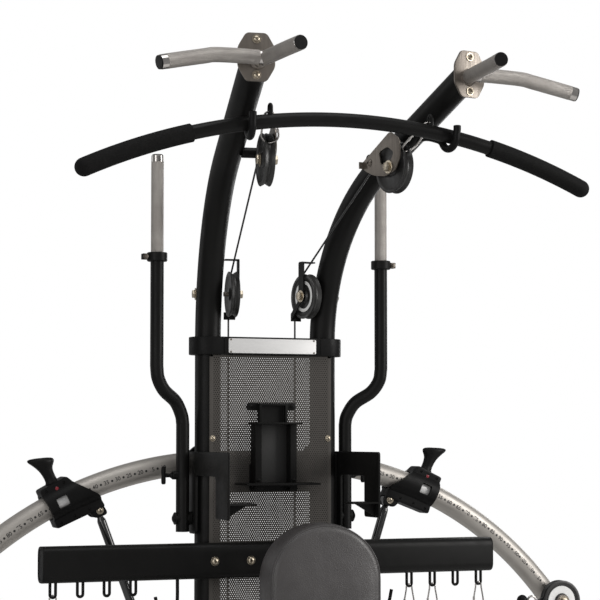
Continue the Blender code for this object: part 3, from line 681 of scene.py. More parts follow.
def moved(mesh, offset=(0, 0, 0), turn=None):
    """The same mesh turned and then shifted."""
    mesh.transform(Matrix.Translation(offset) @ (turn or Matrix()))
    return mesh


def refined(node, edge, segments):
    """A CAD node's own shape, in the column's space, with its edges rounded."""
    least = math.radians(25)
    bm = bmesh.new()
    bm.from_mesh(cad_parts[node].data)
    bmesh.ops.remove_doubles(bm, verts=bm.verts, dist=1e-5)
    bmesh.ops.dissolve_limit(bm, angle_limit=math.radians(2), verts=bm.verts, edges=bm.edges)
    sharp = [e for e in bm.edges if e.is_manifold and e.calc_face_angle() > least]
    bmesh.ops.bevel(bm, geom=sharp, offset=edge, segments=segments, affect="EDGES", profile=0.6,
                    clamp_overlap=True)
    bmesh.ops.transform(bm, matrix=COLUMN.inverted(), verts=bm.verts)
    return to_mesh(bm)


# ---------------------------------------------------------------- shared curves
def arc(centre, radius, start, end, steps):
    """Points round a centre from one angle to another."""
    angles = [start + (end - start) * i / steps for i in range(steps + 1)]
    return [(centre[0] + radius * math.cos(a), centre[1] + radius * math.sin(a)) for a in angles]


def rounded(corners, radius, steps=8):
    """A closed outline whose corners are rounded."""
    outline = []
    count = len(corners)
    for i in range(count):
        before, here, after = (Vector(corners[(i + k) % count]) for k in (-1, 0, 1))
        start = here + (before - here).normalized() * radius
        end = here + (after - here).normalized() * radius
        for k in range(steps + 1):
            t = k / steps
            point = (1 - t) ** 2 * start + 2 * t * (1 - t) * here + t ** 2 * end
            outline.append((point.x, point.y))
    return outline


def rectangle(width, height, centre=(0, 0)):
    """The four corners of a rectangle."""
    x, y = width / 2, height / 2
    return [(centre[0] + a, centre[1] + b) for a, b in ((-x, -y), (x, -y), (x, y), (-x, y))]


def smooth_path(knots, steps=10):
    """A Catmull-Rom curve through the knots."""
    points = [Vector(knot) for knot in knots]
    padded = [2 * points[0] - points[1], *points, 2 * points[-1] - points[-2]]
    path = []
    for a, b, c, d in zip(padded, padded[1:], padded[2:], padded[3:]):
        for k in range(steps):
            t = k / steps
            path.append(0.5 * (2 * b + (c - a) * t + (2 * a - 5 * b + 4 * c - d) * t ** 2
                               + (3 * b - a - 3 * c + d) * t ** 3))
    path.append(points[-1])
    return path


def along(path, start, end, step):
    """Points evenly spaced on a path, from one share of its length to another."""
    points = [Vector(p) for p in path]
    reach = [0.0]
    for a, b in zip(points, points[1:]):
        reach.append(reach[-1] + (b - a).length)
    count = max(2, round((end - start) * reach[-1] / step))
    result = []
    for k in range(count + 1):
        target = reach[-1] * (start + (end - start) * k / count)
        i = min(max(j for j, r in enumerate(reach) if r <= target + 1e-12), len(points) - 2)
        result.append(points[i].lerp(points[i + 1], (target - reach[i]) / (reach[i + 1] - reach[i])))
    return result


def tube_height(forward):
    """The height of a bent tube's straight upper stretch at a forward reach."""
    start = BEND_R * (1 - math.cos(BEND_ANGLE))
    return BEND_Z + BEND_R * math.sin(BEND_ANGLE) + (forward - start) / math.tan(BEND_ANGLE)


def lat_height(x):
    """The height of the lat bar's centre line at a distance from the middle."""
    return LAT_Z - LAT_BOW_R + math.sqrt(LAT_BOW_R ** 2 - x ** 2)


def on_arc(angle, radius):
    """The (x, z) place at an angle from straight up, round the arc's centre."""
    return (radius * math.sin(angle), radius * math.cos(angle))


def around_arc(*places):
    """Corners given as pairs of degrees from straight up and radius, round the arc's centre."""
    return [on_arc(math.radians(angle), radius) for angle, radius in places]


def arc_path(start, end, steps, radius=ARC_R):
    places = [on_arc(start + (end - start) * k / steps, radius) for k in range(steps + 1)]
    return [(x, 0, z) for x, z in places]


# ---------------------------------------------------------------- fasteners
def turned_to(direction):
    """The turn that takes +Z to a direction."""
    return Vector(direction).to_track_quat("Z", "Y").to_matrix().to_4x4()


def hexagon(radius):
    return [(radius * math.cos(math.pi * k / 3), radius * math.sin(math.pi * k / 3)) for k in range(6)]


def hex_bolt(radius, height):
    """A hexagon head with a washer under it, standing on z = 0."""
    washer = turned([(0, 0), (0, radius * 1.35), (radius * 0.14, radius * 1.42),
                     (radius * 0.2, radius * 1.35), (radius * 0.2, 0)])
    head = prism(hexagon(radius), "Z", radius * 0.19, height, radius * 0.12)
    return together(washer, head)


def dome_bolt(radius, height):
    """A domed head with a hexagon socket and a washer."""
    rise = [(height * math.sin(a), radius * math.cos(a)) for a in [math.pi / 2 * k / 8 for k in range(8)]]
    head = turned([(0, 0), *[(h + radius * 0.15, r) for h, r in rise], (height + radius * 0.15, 0)])
    socket = prism(hexagon(radius * 0.42), "Z", height * 0.45, height * 2, 0)
    washer = turned([(0, 0), (0, radius * 1.3), (radius * 0.15, radius * 1.36), (radius * 0.22, radius * 1.3),
                     (radius * 0.22, 0)])
    return together(cut(head, socket), washer)


def fasteners(name, shape, places, look="zinc", body="frame", space=None, sign=1):
    """Copies of one fastener at (place, outward direction) pairs, as one piece."""
    copies = [moved(shape.copy(), place, turned_to(direction)) for place, direction in places]
    return piece(name, together(*copies), look, body, space, sign)


def one_side(side, sign, space=None, body="frame"):
    """The piece and fasteners calls of a paired sub-part, with its side's name, mirror and space."""
    def part(name, mesh, look, body=body, node=None, sharp=32):
        stands_for = [f"{side}_{node}"] if node else ()
        return piece(f"{side}_{name}", mesh, look, body, space, sign, stands_for, sharp)

    def fix(name, shape, places, look="zinc", body=body):
        return fasteners(f"{side}_{name}", shape, places, look, body, space, sign)

    return part, fix


# ---------------------------------------------------------------- column
def upright(side, sign):
    """A bent tube with its foot flange, weld and bolts."""
    path = [(0, 0, FOOT_TOP + 0.0003), (0, 0, 0.5), (0, 0, 1.0), (0, 0, BEND_Z)]
    for forward, height in arc((-BEND_R, 0), BEND_R, 0, BEND_ANGLE, 32)[1:]:
        path.append((0, forward, BEND_Z + height))
    path.append((0, -TUBE_REACH, tube_height(TUBE_REACH)))
    part, fix = one_side(side, sign, tube_space(sign))
    part("upright_tube", sweep(path, UPRIGHT_R, 56), "powder_coat", node="upright")
    weld = turned([(-0.001, UPRIGHT_R - 0.001), (-0.001, UPRIGHT_R + 0.004), (0.001, UPRIGHT_R + 0.0042),
                   (0.003, UPRIGHT_R + 0.0022), (0.0045, UPRIGHT_R), (0.0045, UPRIGHT_R - 0.001)], "Z", 56,
                  (0, 0, FOOT_TOP + 0.0062))
    plate = prism(rounded(rectangle(0.086, 0.086), 0.008), "Z", FOOT_TOP + 0.0003, FOOT_TOP + 0.006)
    part("upright_flange", together(weld, plate), "powder_coat")
    corners = [((x, y, FOOT_TOP + 0.006), UP) for x in (-0.0355, 0.0355) for y in (-0.0355, 0.0355)]
    fix("upright_bolts", hex_bolt(0.0058, 0.0065), corners)


def collar():
    """The band round both uprights with its window, and the blank plate riveted on its front."""
    low, high = PANEL_Z[1] + 0.0003, PANEL_Z[1] + 0.0383
    radius = 0.0405
    outline = (arc((UPRIGHT_X, 0), radius, -math.pi / 2, math.pi / 2, 28)
               + arc((-UPRIGHT_X, 0), radius, math.pi / 2, math.pi * 1.5, 28))
    band = prism(outline, "Z", low, high, 0.002)
    bores = [rod("Z", UPRIGHT_R + 0.0008, 1, 2, (x, 0, 0), 56) for x in (-UPRIGHT_X, UPRIGHT_X)]
    window = block((-0.0995, -0.034, 1), (0.0995, 0.034, 2), 0.004)
    grooves = [prism(rectangle(0.0012, 0.02, (x, -radius)), "Z", low + 0.002, high - 0.002, 0)
               for x in (-0.110, 0.110)]
    piece("collar_band", cut(band, *bores, window, *grooves), "moulded_plastic", stands_for=["column_collar"])
    front = -radius
    plate_outline = rounded(rectangle(0.200, 0.031, (0, (low + high) / 2)), 0.003)
    plate = prism(plate_outline, "Y", front - 0.0014, front, 0.0004)
    piece("collar_plate", plate, "name_plate")
    rivets = [((x, front - 0.0014, z), FORWARD)
              for x in (-0.095, 0.095) for z in (low + 0.006, high - 0.006)]
    fasteners("collar_plate_rivets", dome_bolt(0.0016, 0.0010), rivets, "plated_steel")


def perforated_panel():
    """The sheet with its staggered round holes, and a plain margin at its edges."""
    front, back = PANEL_FRONT, PANEL_BACK
    margin = 0.003
    row_step = HOLE_PITCH * math.sqrt(3) / 2
    outer_r = HOLE_PITCH / math.sqrt(3)
    columns = int((2 * PANEL_HALF - 2 * margin) / HOLE_PITCH - 0.5)
    rows = int((PANEL_Z[1] - PANEL_Z[0] - 2 * margin) / row_step)
    turns = np.arange(6) * math.pi / 3 + math.pi / 6
    outer = np.stack([outer_r * np.cos(turns), outer_r * np.sin(turns)], 1)
    inner = np.stack([HOLE_R * np.cos(turns), HOLE_R * np.sin(turns)], 1)
    cell_faces = []
    for k in range(6):
        j = (k + 1) % 6
        cell_faces += [(k, j, 6 + j, 6 + k), (12 + j, 12 + k, 18 + k, 18 + j), (6 + k, 6 + j, 18 + j, 18 + k)]
    cell_faces = np.array(cell_faces)
    cell = np.concatenate([np.c_[ring[:, 0], np.full(6, y), ring[:, 1]]
                           for y in (front, back) for ring in (outer, inner)])
    first_x = -(columns - 0.5) * HOLE_PITCH / 2
    half_z = (rows - 1) * row_step / 2
    mid_z = (PANEL_Z[0] + PANEL_Z[1]) / 2
    points, faces = [], []
    for row in range(rows):
        for column in range(columns):
            x = first_x + (column + (row % 2) / 2) * HOLE_PITCH
            faces.append(cell_faces + 24 * len(points))
            points.append(cell + np.array([x, 0, mid_z - half_z + row * row_step]))
    mesh = bpy.data.meshes.new("shape")
    mesh.from_pydata(np.concatenate(points).tolist(), [], np.concatenate(faces).tolist())
    bm = bmesh.new()
    bm.from_mesh(mesh)
    bmesh.ops.remove_doubles(bm, verts=bm.verts, dist=1e-5)
    sheet = to_mesh(bm)
    lap = HOLE_PITCH * 0.55
    side_edge = -first_x + HOLE_PITCH / 2 - lap
    end_edge = half_z + outer_r - HOLE_PITCH * 0.28
    rims = [block((side_edge if s > 0 else -PANEL_HALF, front - 0.0002, PANEL_Z[0]),
                  (PANEL_HALF if s > 0 else -side_edge, back + 0.0002, PANEL_Z[1]), 0.0006) for s in (-1, 1)]
    rims += [block((-PANEL_HALF, front - 0.0002, low), (PANEL_HALF, back + 0.0002, high), 0.0006)
             for low, high in ((PANEL_Z[0], mid_z - end_edge), (mid_z + end_edge, PANEL_Z[1]))]
    piece("perforated_panel", together(sheet, *rims), "perforated_sheet", stands_for=["mesh_panel"])
    screws = [((x, front, z), FORWARD) for x in (-0.132, 0.132) for z in (0.70, 1.30)]
    fasteners("panel_screws", dome_bolt(0.0050, 0.0028), screws)


def cross_beam():
    """A tube with rounded corners, dished end caps and bolts on its front."""
    y, z = BEAM_CENTRE.y, BEAM_CENTRE.z
    corners = rectangle(BEAM_D, BEAM_H, (y, z))
    outline = rounded(corners, 0.019, 10)
    body = prism(outline, "X", -BEAM_HALF + 0.003, BEAM_HALF - 0.003, 0.0005)
    piece("beam_tube", body, "powder_coat", stands_for=["cross_beam"])
    for side, sign in SIDES:
        cap = prism(outline, "X", BEAM_HALF - 0.004, BEAM_HALF, 0.0016)
        dish = prism(rounded(rectangle(BEAM_D - 0.012, BEAM_H - 0.012, (y, z)), 0.014, 10), "X",
                     BEAM_HALF - 0.0012, BEAM_HALF + 0.01, 0)
        piece(side + "_beam_cap", cut(cap, dish), "moulded_plastic", sign=sign)
    front = y - BEAM_D / 2
    bolts = [((x, front + 0.0003, z), FORWARD) for x in (-0.143, -0.063, 0.063, 0.143)]
    fasteners("beam_bolts", dome_bolt(0.0070, 0.0038), bolts)


def loops_and_hooks():
    """Wire loops and hooks under the beam, for the handles and straps."""
    y = BEAM_CENTRE.y
    wire = 0.0031
    half, drop = 0.0058, 0.029
    loop_places = (0.313, 0.369, 0.425, 0.482)
    clipped = (("left", -1, loop_places[3:]), ("right", 1, loop_places[:2] + loop_places[3:]))
    strap_hook_x = 0.2175
    for side, sign in SIDES:
        loops = []
        for x in loop_places:
            turn = arc((x, BEAM_BOTTOM - drop + half), half, math.pi, math.tau, 12)
            path = [(x - half, y, BEAM_BOTTOM + 0.004), *[(a, y, b) for a, b in turn],
                    (x + half, y, BEAM_BOTTOM + 0.004)]
            loops.append(sweep(path, wire, 20))
        piece(side + "_beam_loops", together(*loops), "powder_coat", sign=sign)
        knots = ((0, 0, 0.004), (0, 0, -0.040), (0.003, -0.001, -0.062), (0.021, -0.004, -0.076),
                 (0.042, -0.006, -0.064), (0.050, -0.007, -0.034))
        curl = [(strap_hook_x + dx, y + dy, BEAM_BOTTOM + dz) for dx, dy, dz in knots]
        piece(side + "_strap_hook", sweep(smooth_path(curl, 8), 0.0036, 20), "powder_coat", sign=sign)
    for side, sign, places in clipped:
        clips = [snap_hook((x, y, BEAM_BOTTOM - drop + wire + 0.0016), 0.060) for x in places]
        piece(side + "_beam_snap_hooks", together(*clips), "plain_chrome", sign=sign)


def snap_hook(top, length, wire=0.0017):
    """A pear-shaped spring hook that hangs from its top point, in the XZ plane."""
    x, y, z = top
    one_side_down = [(0.0052, -0.0040), (0.0058, -0.0100), (0.0095, -0.0300), (0.0098, -0.0400),
                     (0.0062, -0.0470)]
    other_side_up = [(-a, b) for a, b in reversed(one_side_down)]
    shape = [(0.0, 0.0), *one_side_down, (0.0, -0.0495), *other_side_up]
    scale = -length / min(b for _, b in shape)
    knots = [(x + a * scale, y, z + b * scale) for a, b in shape]
    path = smooth_path([*knots, knots[0]], 6)[:-1]
    body = sweep(path, wire, 16, closed=True)
    nose = turned([(-0.0042, 0), (-0.0042, wire * 1.35), (0.0042, wire * 1.35), (0.0042, 0)], "Z", 20,
                  (x - 0.0093 * scale, y, z - 0.030 * scale))
    return together(body, nose)


def accessory_bracket():
    """The holder on the panel: a strap, a channel between two flanges, a shelf and a tab under it."""
    back = PANEL_FRONT - 0.0003

    def slab(half, front, rear, low, high, edge=0.0012):
        """A block centred across the machine, its front and rear given as distances ahead of the panel."""
        return block((-half, back - front, low), (half, back - rear, high), edge)

    shape = union(
        slab(0.050, 0.003, 0, 1.190, 1.2452, 0.001),
        prism(rounded(rectangle(0.112, 0.015, (0, 1.3680)), 0.006), "Y", back - 0.0031, back),
        slab(0.032, 0.016, 0.001, 1.3260, 1.3745),
        slab(0.047, 0.030, 0.0011, 1.2045, 1.3320),
        slab(0.051, 0.055, 0.0012, 1.3300, 1.3335, 0.0010),
        slab(0.083, 0.075, 0.0013, 1.2020, 1.2062, 0.0010),
        slab(0.047, 0.034, 0.0014, 1.1885, 1.2030, 0.0014))
    channel = slab(0.033, 0.050, 0.005, 1.2066, 1.3296)
    neck = slab(0.027, 0.030, 0.005, 1.3339, 1.3700)
    slot = slab(0.030, 0.050, 0.012, 1.1840, 1.1985)
    holder = cut(shape, channel, neck, slot)
    piece("accessory_holder", holder, "powder_coat", stands_for=["accessory_bracket"])
    # A thin black sheet on the channel's floor: painted shade that darkens the recess where shade falls.
    painted_shade_sheet = slab(0.0332, 0.0062, 0.0048, 1.2064, 1.3298, 0.0004)
    piece("accessory_painted_shade_sheet", painted_shade_sheet, "print_black")
    screws = [((x, back - 0.0031, 1.3680), FORWARD) for x in (-0.047, 0.047)]
    screws += [((x, back - 0.030, 1.212), FORWARD) for x in (-0.040, 0.040)]
    fasteners("accessory_screws", dome_bolt(0.0038, 0.0022), screws, "powder_coat")


# ---------------------------------------------------------------- base, seat and leg developer
def base():
    """Feet, floor beam and posts, with end caps, bolts and transport wheels."""
    for node in ("rear_foot", "front_foot", "floor_beam", "seat_post", "backrest_post"):
        piece(node + "_tube", refined(node, 0.0016, 3), "powder_coat", stands_for=[node])
    lap, past, wall = 0.012, 0.003, 0.0012
    for node in ("rear_foot", "front_foot"):
        low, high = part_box(node)
        front, back = low.y - COLUMN_Y - wall, high.y - COLUMN_Y + wall
        half = extent(node).x / 2
        for side, sign in SIDES:
            cap = block((half - lap, front, 0.0), (half + past, back, high.z + wall), 0.004, 4)
            piece(f"{side}_{node}_cap", cap, "foot_rubber", sign=sign)
    front_y = middle("front_foot").y - COLUMN_Y
    wheel = turned(both_halves([(0.011, 0.006), (0.011, 0.021), (0.008, 0.024)]), "X")
    wheel_place = (0.17, front_y, 0.0242)
    for side, sign in SIDES:
        joint = [((sign * 0.021, y, FOOT_TOP), UP) for y in (-0.062, front_y + 0.046)]
        fasteners(side + "_base_bolts", dome_bolt(0.0065, 0.0035), joint)
        piece(side + "_transport_wheel", moved(wheel.copy(), wheel_place), "foot_rubber", sign=sign)


def seat_structure():
    """The seat's rail, the lever, the leg developer's arm, their pivots and the backrest's straps."""
    piece("seat_rail", refined("seat_frame", 0.0010, 2), "powder_coat", stands_for=["seat_frame"])
    piece("lift_lever", refined("lever", 0.0010, 2), "powder_coat", "lever", stands_for=["lever"])
    piece("leg_lever", refined("leg_arm", 0.0012, 2), "powder_coat", "leg_developer", stands_for=["leg_arm"])
    pivot_y = middle("leg_arm").y - COLUMN_Y
    pivot_z = 0.360
    lever_y, lever_z = -0.200, 0.4671
    bolts = [((s * 0.034, pivot_y, pivot_z), (s, 0, 0)) for s in (-1, 1)]
    bolts += [((s * 0.0553, lever_y, lever_z), (s, 0, 0)) for s in (-1, 1)]
    fasteners("seat_pivot_bolts", hex_bolt(0.0105, 0.008), bolts)
    post_y = middle("backrest_post").y - COLUMN_Y
    half_width, half_height = 0.060, 0.018
    straps = [block((-half_width, post_y - 0.0215, z - half_height),
                    (half_width, post_y - 0.0180, z + half_height), 0.0010) for z in (0.62, 0.95)]
    piece("backrest_straps", together(*straps), "powder_coat")


def foam_roller(name, node, body):
    """A foam tube whose skin is drawn in at both ends, with a plastic end cap on its shaft."""
    low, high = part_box(node)
    centre = middle(node)
    radius = (high.z - low.z) / 2
    half = (high.x - low.x) / 2
    bore = 0.0106
    shoulder = 0.011
    corner = [(half - shoulder + shoulder * math.sin(a), radius - shoulder + shoulder * math.cos(a))
              for a in [math.pi / 2 * k / 8 for k in range(9)]]
    crown = [(half * t, radius * (1 - 0.012 * abs(t) ** 3)) for t in (-0.7, -0.45, -0.2, 0, 0.2, 0.45, 0.7)]
    right = [(x, r * 0.988) for x, r in corner] + [(half - 0.001, 0.020), (half - 0.004, bore)]
    left = [(-x, r) for x, r in reversed(right)]
    mesh = turned(left + crown + right, "X", 72, centre - Vector((0, COLUMN_Y, 0)))
    roller = piece(name, mesh, "foam", body, stands_for=[node])
    outer = 1 if centre.x > 0 else -1
    cap = [(0, 0), (0, 0.024), (0.002, 0.0255), (0.0035, 0.023), (0.0038, 0.0125), (0.006, 0.011), (0.006, 0)]
    end_centre = centre - Vector((0, COLUMN_Y, 0)) + Vector((outer * (half - 0.0015), 0, 0))
    end = turned([(outer * a, r) for a, r in cap], "X", 48, end_centre)
    piece(name + "_cap", end, "moulded_plastic", body)


# ---------------------------------------------------------------- head of the machine
def eight_sided_plate(width, height, centre, radius):
    x, z = width / 2, height / 2
    corners = [(-0.55 * x, -z), (0.55 * x, -z), (x, -0.4 * z), (x, 0.4 * z), (0.55 * x, z), (-0.55 * x, z),
               (-x, 0.4 * z), (-x, -0.4 * z)]
    return rounded([(centre[0] + a, centre[1] + b) for a, b in corners], radius)


def grip_bar(side, sign, name, path, knurl):
    """A chrome bar: knurled over part of its length, plain at the rest, with a plug in its end."""
    space = tube_space(sign)
    start, end = knurl
    name = f"{side}_{name}"
    parts = (("root", 0, start, HANDLE_R - 0.0002, "plain_chrome"),
             ("knurl", start, end, HANDLE_R, "knurled_chrome"),
             ("band", end, 0.990, HANDLE_R - 0.0002, "plain_chrome"),
             ("plug", 0.975, 1.0, HANDLE_R - 0.0011, "moulded_plastic"))
    for part, first, last, radius, look in parts:
        bar = sweep(along(path, first, last, 0.005), radius, 48)
        piece(f"{name}_{part}", bar, look, "frame", space, sign)


def pull_up_handle(side, sign):
    """The plate on a bent tube's end with a forward grip and an outer grip."""
    part, fix = one_side(side, sign, tube_space(sign))
    outline = eight_sided_plate(0.072, 0.092, (0, PLATE_Z), 0.007)
    plate = prism(outline, "Y", -PLATE_BACK - 0.005, -PLATE_BACK, 0.0009)
    part("pull_up_plate", plate, "plated_steel", node="pull_up_handle")
    root = 2.006
    forward = smooth_path([(-0.004, -PLATE_BACK - 0.003, root), (-0.018, -0.578, root + 0.001),
                           (-0.034, -0.638, root + 0.0025), (-0.050, -0.692, root + 0.004)])
    grip_bar(side, sign, "forward_grip", forward, (0.05, 0.975))
    outward = smooth_path([(-0.006, -0.556, root + 0.0004), (0.040, -0.566, root),
                           (0.088, -0.581, root - 0.003), (0.108, -0.588, root - 0.0075),
                           (0.152, -0.603, root - 0.018), (0.197, -0.618, root - 0.029)])
    grip_bar(side, sign, "outer_grip", outward, (0.04, 0.93))
    bolts = [((0, -PLATE_BACK - 0.005, PLATE_Z + dz), FORWARD) for dz in (-0.034, 0.034)]
    fix("plate_bolts", dome_bolt(0.0064, 0.0040), bolts)
    weld = turned([(-0.002, HANDLE_R - 0.001), (-0.002, HANDLE_R + 0.0042), (0.0012, HANDLE_R + 0.003),
                   (0.004, HANDLE_R + 0.0006), (0.004, HANDLE_R - 0.001)], "Z", 40)
    first = Vector(forward[1]) - Vector(forward[0])
    weld_place = Vector(forward[0]) + Vector((0, -0.002, 0))
    part("forward_weld", moved(weld, weld_place, turned_to(first)), "plated_steel")


def bar_hook(side, sign):
    """A coated rod that leaves the upright, cups the lat bar and turns up in front of it."""
    reach, wire = 0.463, 0.0075
    seat = HANDLE_R + wire + 0.0024
    height = lat_height(0.2190)
    back = math.pi * 0.12
    cup = [(HOOK_OUT, -(reach - seat * math.cos(a)), height - seat * math.sin(a))
           for a in [back + (math.pi - back) * k / 24 for k in range(25)]]
    root = HOOK_ROOT
    arm = smooth_path([(HOOK_OUT * 0.3, -root, tube_height(root) - 0.010),
                       (HOOK_OUT * 0.6, -(root + 0.06), height + 0.010),
                       (HOOK_OUT, -(reach - seat) + 0.014, height - 0.0005), cup[0]], 8)
    front = reach + seat + 0.0025
    tip = [(HOOK_OUT, -front, height + 0.012), (HOOK_OUT, -front, height + 0.0185)]
    path = [*arm[:-1], *cup, *tip]
    radii = [wire] * len(path)
    end = Vector(path[-1])
    direction = (end - Vector(path[-2])).normalized()
    for rise, share in ((0.0006, 0.93), (0.0011, 0.80), (0.0015, 0.55)):
        path.append(end + direction * rise)
        radii.append(wire * share)
    part, _ = one_side(side, sign, tube_space(sign))
    part("hook_rod", sweep(path, radii, 32), "moulded_plastic", node="bar_hook")


def both_halves(half):
    """A profile's half on the positive side, given from its end inward, with its mirror image before it."""
    return [(-across, height) for across, height in half] + half[::-1]


def wheel_profile(radius, width, bore, hub):
    """A pulley's section above its bore: two flanges, a deep V groove, a recessed web and a raised hub."""
    half = width / 2
    groove = radius - GROOVE
    rim = radius * 0.86
    one_face = [(half, bore), (half, hub), (half - 0.0015, hub + 0.0015), (half - 0.0032, hub + 0.004),
                (half - 0.0032, rim - 0.004), (half - 0.0008, rim), (half, rim + 0.001),
                (half, radius - 0.0015), (half - 0.0004, radius - 0.0004), (half - 0.0013, radius),
                (0.0026, groove + 0.0012), (0.0015, groove)]
    return both_halves(one_face)


def top_pulley(side, sign):
    """The pulley near a bent tube's end, on its windowed plate."""
    u, f, z = TOP_PULLEY
    part, fix = one_side(side, sign, tube_space(sign))
    wheel = turned(wheel_profile(TOP_PULLEY_R, PULLEY_W, 0.0052, 0.013), "X", 72, (u, -f, z))
    part("top_wheel", wheel, "pulley_nylon", side + "_top_pulley", "top_pulley")
    inner = u - PULLEY_W / 2 - 0.002
    corners = [(0.100, 0.016), (-0.004, 0.072), (-0.036, 0.054), (-0.040, 0.016), (-0.022, -0.010),
               (0.012, -0.018), (0.052, -0.012), (0.084, 0.001)]
    plate = prism([(y - f, z + dz) for y, dz in rounded(corners, 0.009)], "X", inner - 0.003, inner, 0.0006)
    hole = rounded([(0.034, 0.034), (0.004, 0.042), (-0.018, 0.028), (-0.006, 0.010), (0.028, 0.007)], 0.007)
    window = prism([(y - f, z + dz) for y, dz in hole], "X", inner - 0.010, inner + 0.010, 0)
    flange = block((inner - 0.014, 0.088 - f, z + 0.006), (inner - 0.0005, 0.0905 - f, z + 0.020), 0.0008)
    part("top_plate", union(cut(plate, window), flange), "plated_steel", node="top_pulley_bracket")
    stub = rod("X", 0.0105, inner - 0.001, 0.007 - UPRIGHT_R, (0, -0.276, 1.870), 40)
    part("top_stub", stub, "powder_coat")
    nuts = [((inner - 0.003, -f, z), INWARD), ((u + 0.0105, -f, z), OUTWARD)]
    fix("top_nuts", hex_bolt(0.0098, 0.0085), nuts)
    plate_bolt = [((inner - 0.003, -0.282, 1.862), INWARD)]
    fix("top_plate_bolt", dome_bolt(0.0062, 0.0038), plate_bolt, "plated_steel")
    axle = rod("X", 0.0050, inner - 0.002, u + 0.0125, (0, -f, z), 24)
    part("top_axle", axle, "plated_steel")


def mid_pulley(side, sign):
    """The pulley beside an upright, on its strap. Only the right one has a label on its face."""
    u, f, z = MID_PULLEY
    part, fix = one_side(side, sign, tube_space(sign))
    wheel = turned(wheel_profile(MID_PULLEY_R, 0.018, 0.0052, 0.012), "X", 72, (u, -f, z))
    part("mid_wheel", wheel, "pulley_nylon", side + "_mid_pulley", "mid_pulley")
    if sign > 0:
        inside, outside = -0.0066, -0.006996
        profile = [(inside, 0.0265), (inside, 0.0335), (outside, 0.0332), (outside, 0.0268)]
        label = turned(profile, "X", 64, (u, -f, z))
        part("mid_label", label, "label_ring", side + "_mid_pulley")
    inner = u - 0.011
    strap_outline = rounded(rectangle(0.020, 0.087, (-f, z + 0.0315)), 0.005)
    strap = prism(strap_outline, "X", inner - 0.003, inner, 0.0005)
    keeper = block((inner - 0.001, -f - 0.010, z + 0.0715), (-0.0330, -f + 0.006, z + 0.0745), 0.0006)
    arm_outline = [(-f - 0.006, z - 0.008), (-f + 0.004, z - 0.002),
                   (-f + 0.0413, z - 0.036), (-f + 0.0413, z - 0.052)]
    arm = prism(arm_outline, "X", inner - 0.0028, inner - 0.0002, 0.0004)
    lower = block((inner - 0.001, -f + 0.0385, z - 0.052), (-0.0385, -f + 0.0410, z - 0.036), 0.0006)
    part("mid_strap", union(strap, keeper, arm, lower), "powder_coat", node="mid_pulley_bracket")
    axle = rod("X", 0.0050, inner - 0.002, -0.0310, (0, -f, z), 24)
    part("mid_axle", axle, "plated_steel")
    nuts = [((inner - 0.003, -f, z), INWARD), ((UPRIGHT_R - 0.0006, -f + 0.008, z), OUTWARD)]
    fix("mid_nuts", hex_bolt(0.0092, 0.0080), nuts)


def cable_route():
    """Over both pulleys and down inside the column, in a tube's own plane."""
    u, top_f, top_z = TOP_PULLEY
    mid_u, mid_f, mid_z = MID_PULLEY
    clearance = CABLE_R + 0.0005
    top_r = TOP_PULLEY_R - GROOVE + clearance
    mid_r = MID_PULLEY_R - GROOVE + clearance
    slope = math.atan2(top_z - mid_z, top_f - mid_f)
    lean = slope + math.pi / 2 + math.asin((top_r - mid_r) / math.hypot(top_z - mid_z, top_f - mid_f))
    first = math.radians(62)
    wrap = arc((top_f, top_z), top_r, first, lean, 24)
    turn = arc((mid_f, mid_z), mid_r, lean, math.pi, 20)
    start = [(wrap[0][0] + math.sin(first) * 0.006, wrap[0][1] - math.cos(first) * 0.006)]
    down = [(mid_f - mid_r, z) for z in (1.52, 1.30, 1.05, 0.80, 0.60)]
    points = []
    for f, z in start + wrap + turn + down:
        share = min(max((f - mid_f) / (top_f - mid_f), 0), 1)
        points.append((mid_u + (u - mid_u) * share, -f, z))
    return points


def cable(side, sign):
    """The wire rope over both pulleys, with the stop at its front end."""
    path = cable_route()
    part, _ = one_side(side, sign, tube_space(sign))
    part("wire_rope", sweep(path, CABLE_R, 16), "cable_jacket", node="cable")
    start, after = Vector(path[0]), Vector(path[1])
    direction = (start - after).normalized()
    stop = turned([(-0.001, 0), (-0.001, 0.0048), (0.001, 0.0062), (0.013, 0.0062), (0.015, 0.0045),
                   (0.020, 0.0040), (0.021, 0)], "Z", 32)
    part("cable_stop", moved(stop, start, turned_to(direction)), "moulded_plastic")


def lat_bar():
    """The bowed bar with a foam sleeve on each end, eyes and the spring hooks that hang from them."""
    half = LAT_END_X - 0.024
    steps = 64
    path = [(x, LAT_Y, lat_height(x)) for x in [half * (2 * k / steps - 1) for k in range(steps + 1)]]
    tube = sweep(path, HANDLE_R, 40)
    piece("lat_bar_tube", tube, "powder_coat", "lat_bar", bar_space(), stands_for=["lat_bar"])
    for side, sign in SIDES:
        count = 28
        inner, outer = LAT_GRIP_X, LAT_END_X - LAT_GRIP_R
        places = [inner + (outer - inner) * k / count for k in range(count + 1)]
        grip_path = [Vector((x, LAT_Y, lat_height(x))) for x in places]
        direction = (grip_path[-1] - grip_path[-2]).normalized()
        grip_path.insert(1, grip_path[0].lerp(grip_path[1], 0.12))
        radii = [LAT_GRIP_R - 0.0010] + [LAT_GRIP_R] * (count + 1)
        for k in range(1, 9):
            a = math.pi / 2 * k / 8.4
            grip_path.append(Vector((outer, LAT_Y, lat_height(outer))) + direction * LAT_GRIP_R * math.sin(a))
            radii.append(LAT_GRIP_R * math.cos(a))
        part, _ = one_side(side, sign, bar_space(), "lat_bar")
        grip = part("lat_sleeve", sweep(grip_path, radii, 48), "foam", node="lat_grip")
        eyelet(side, sign)


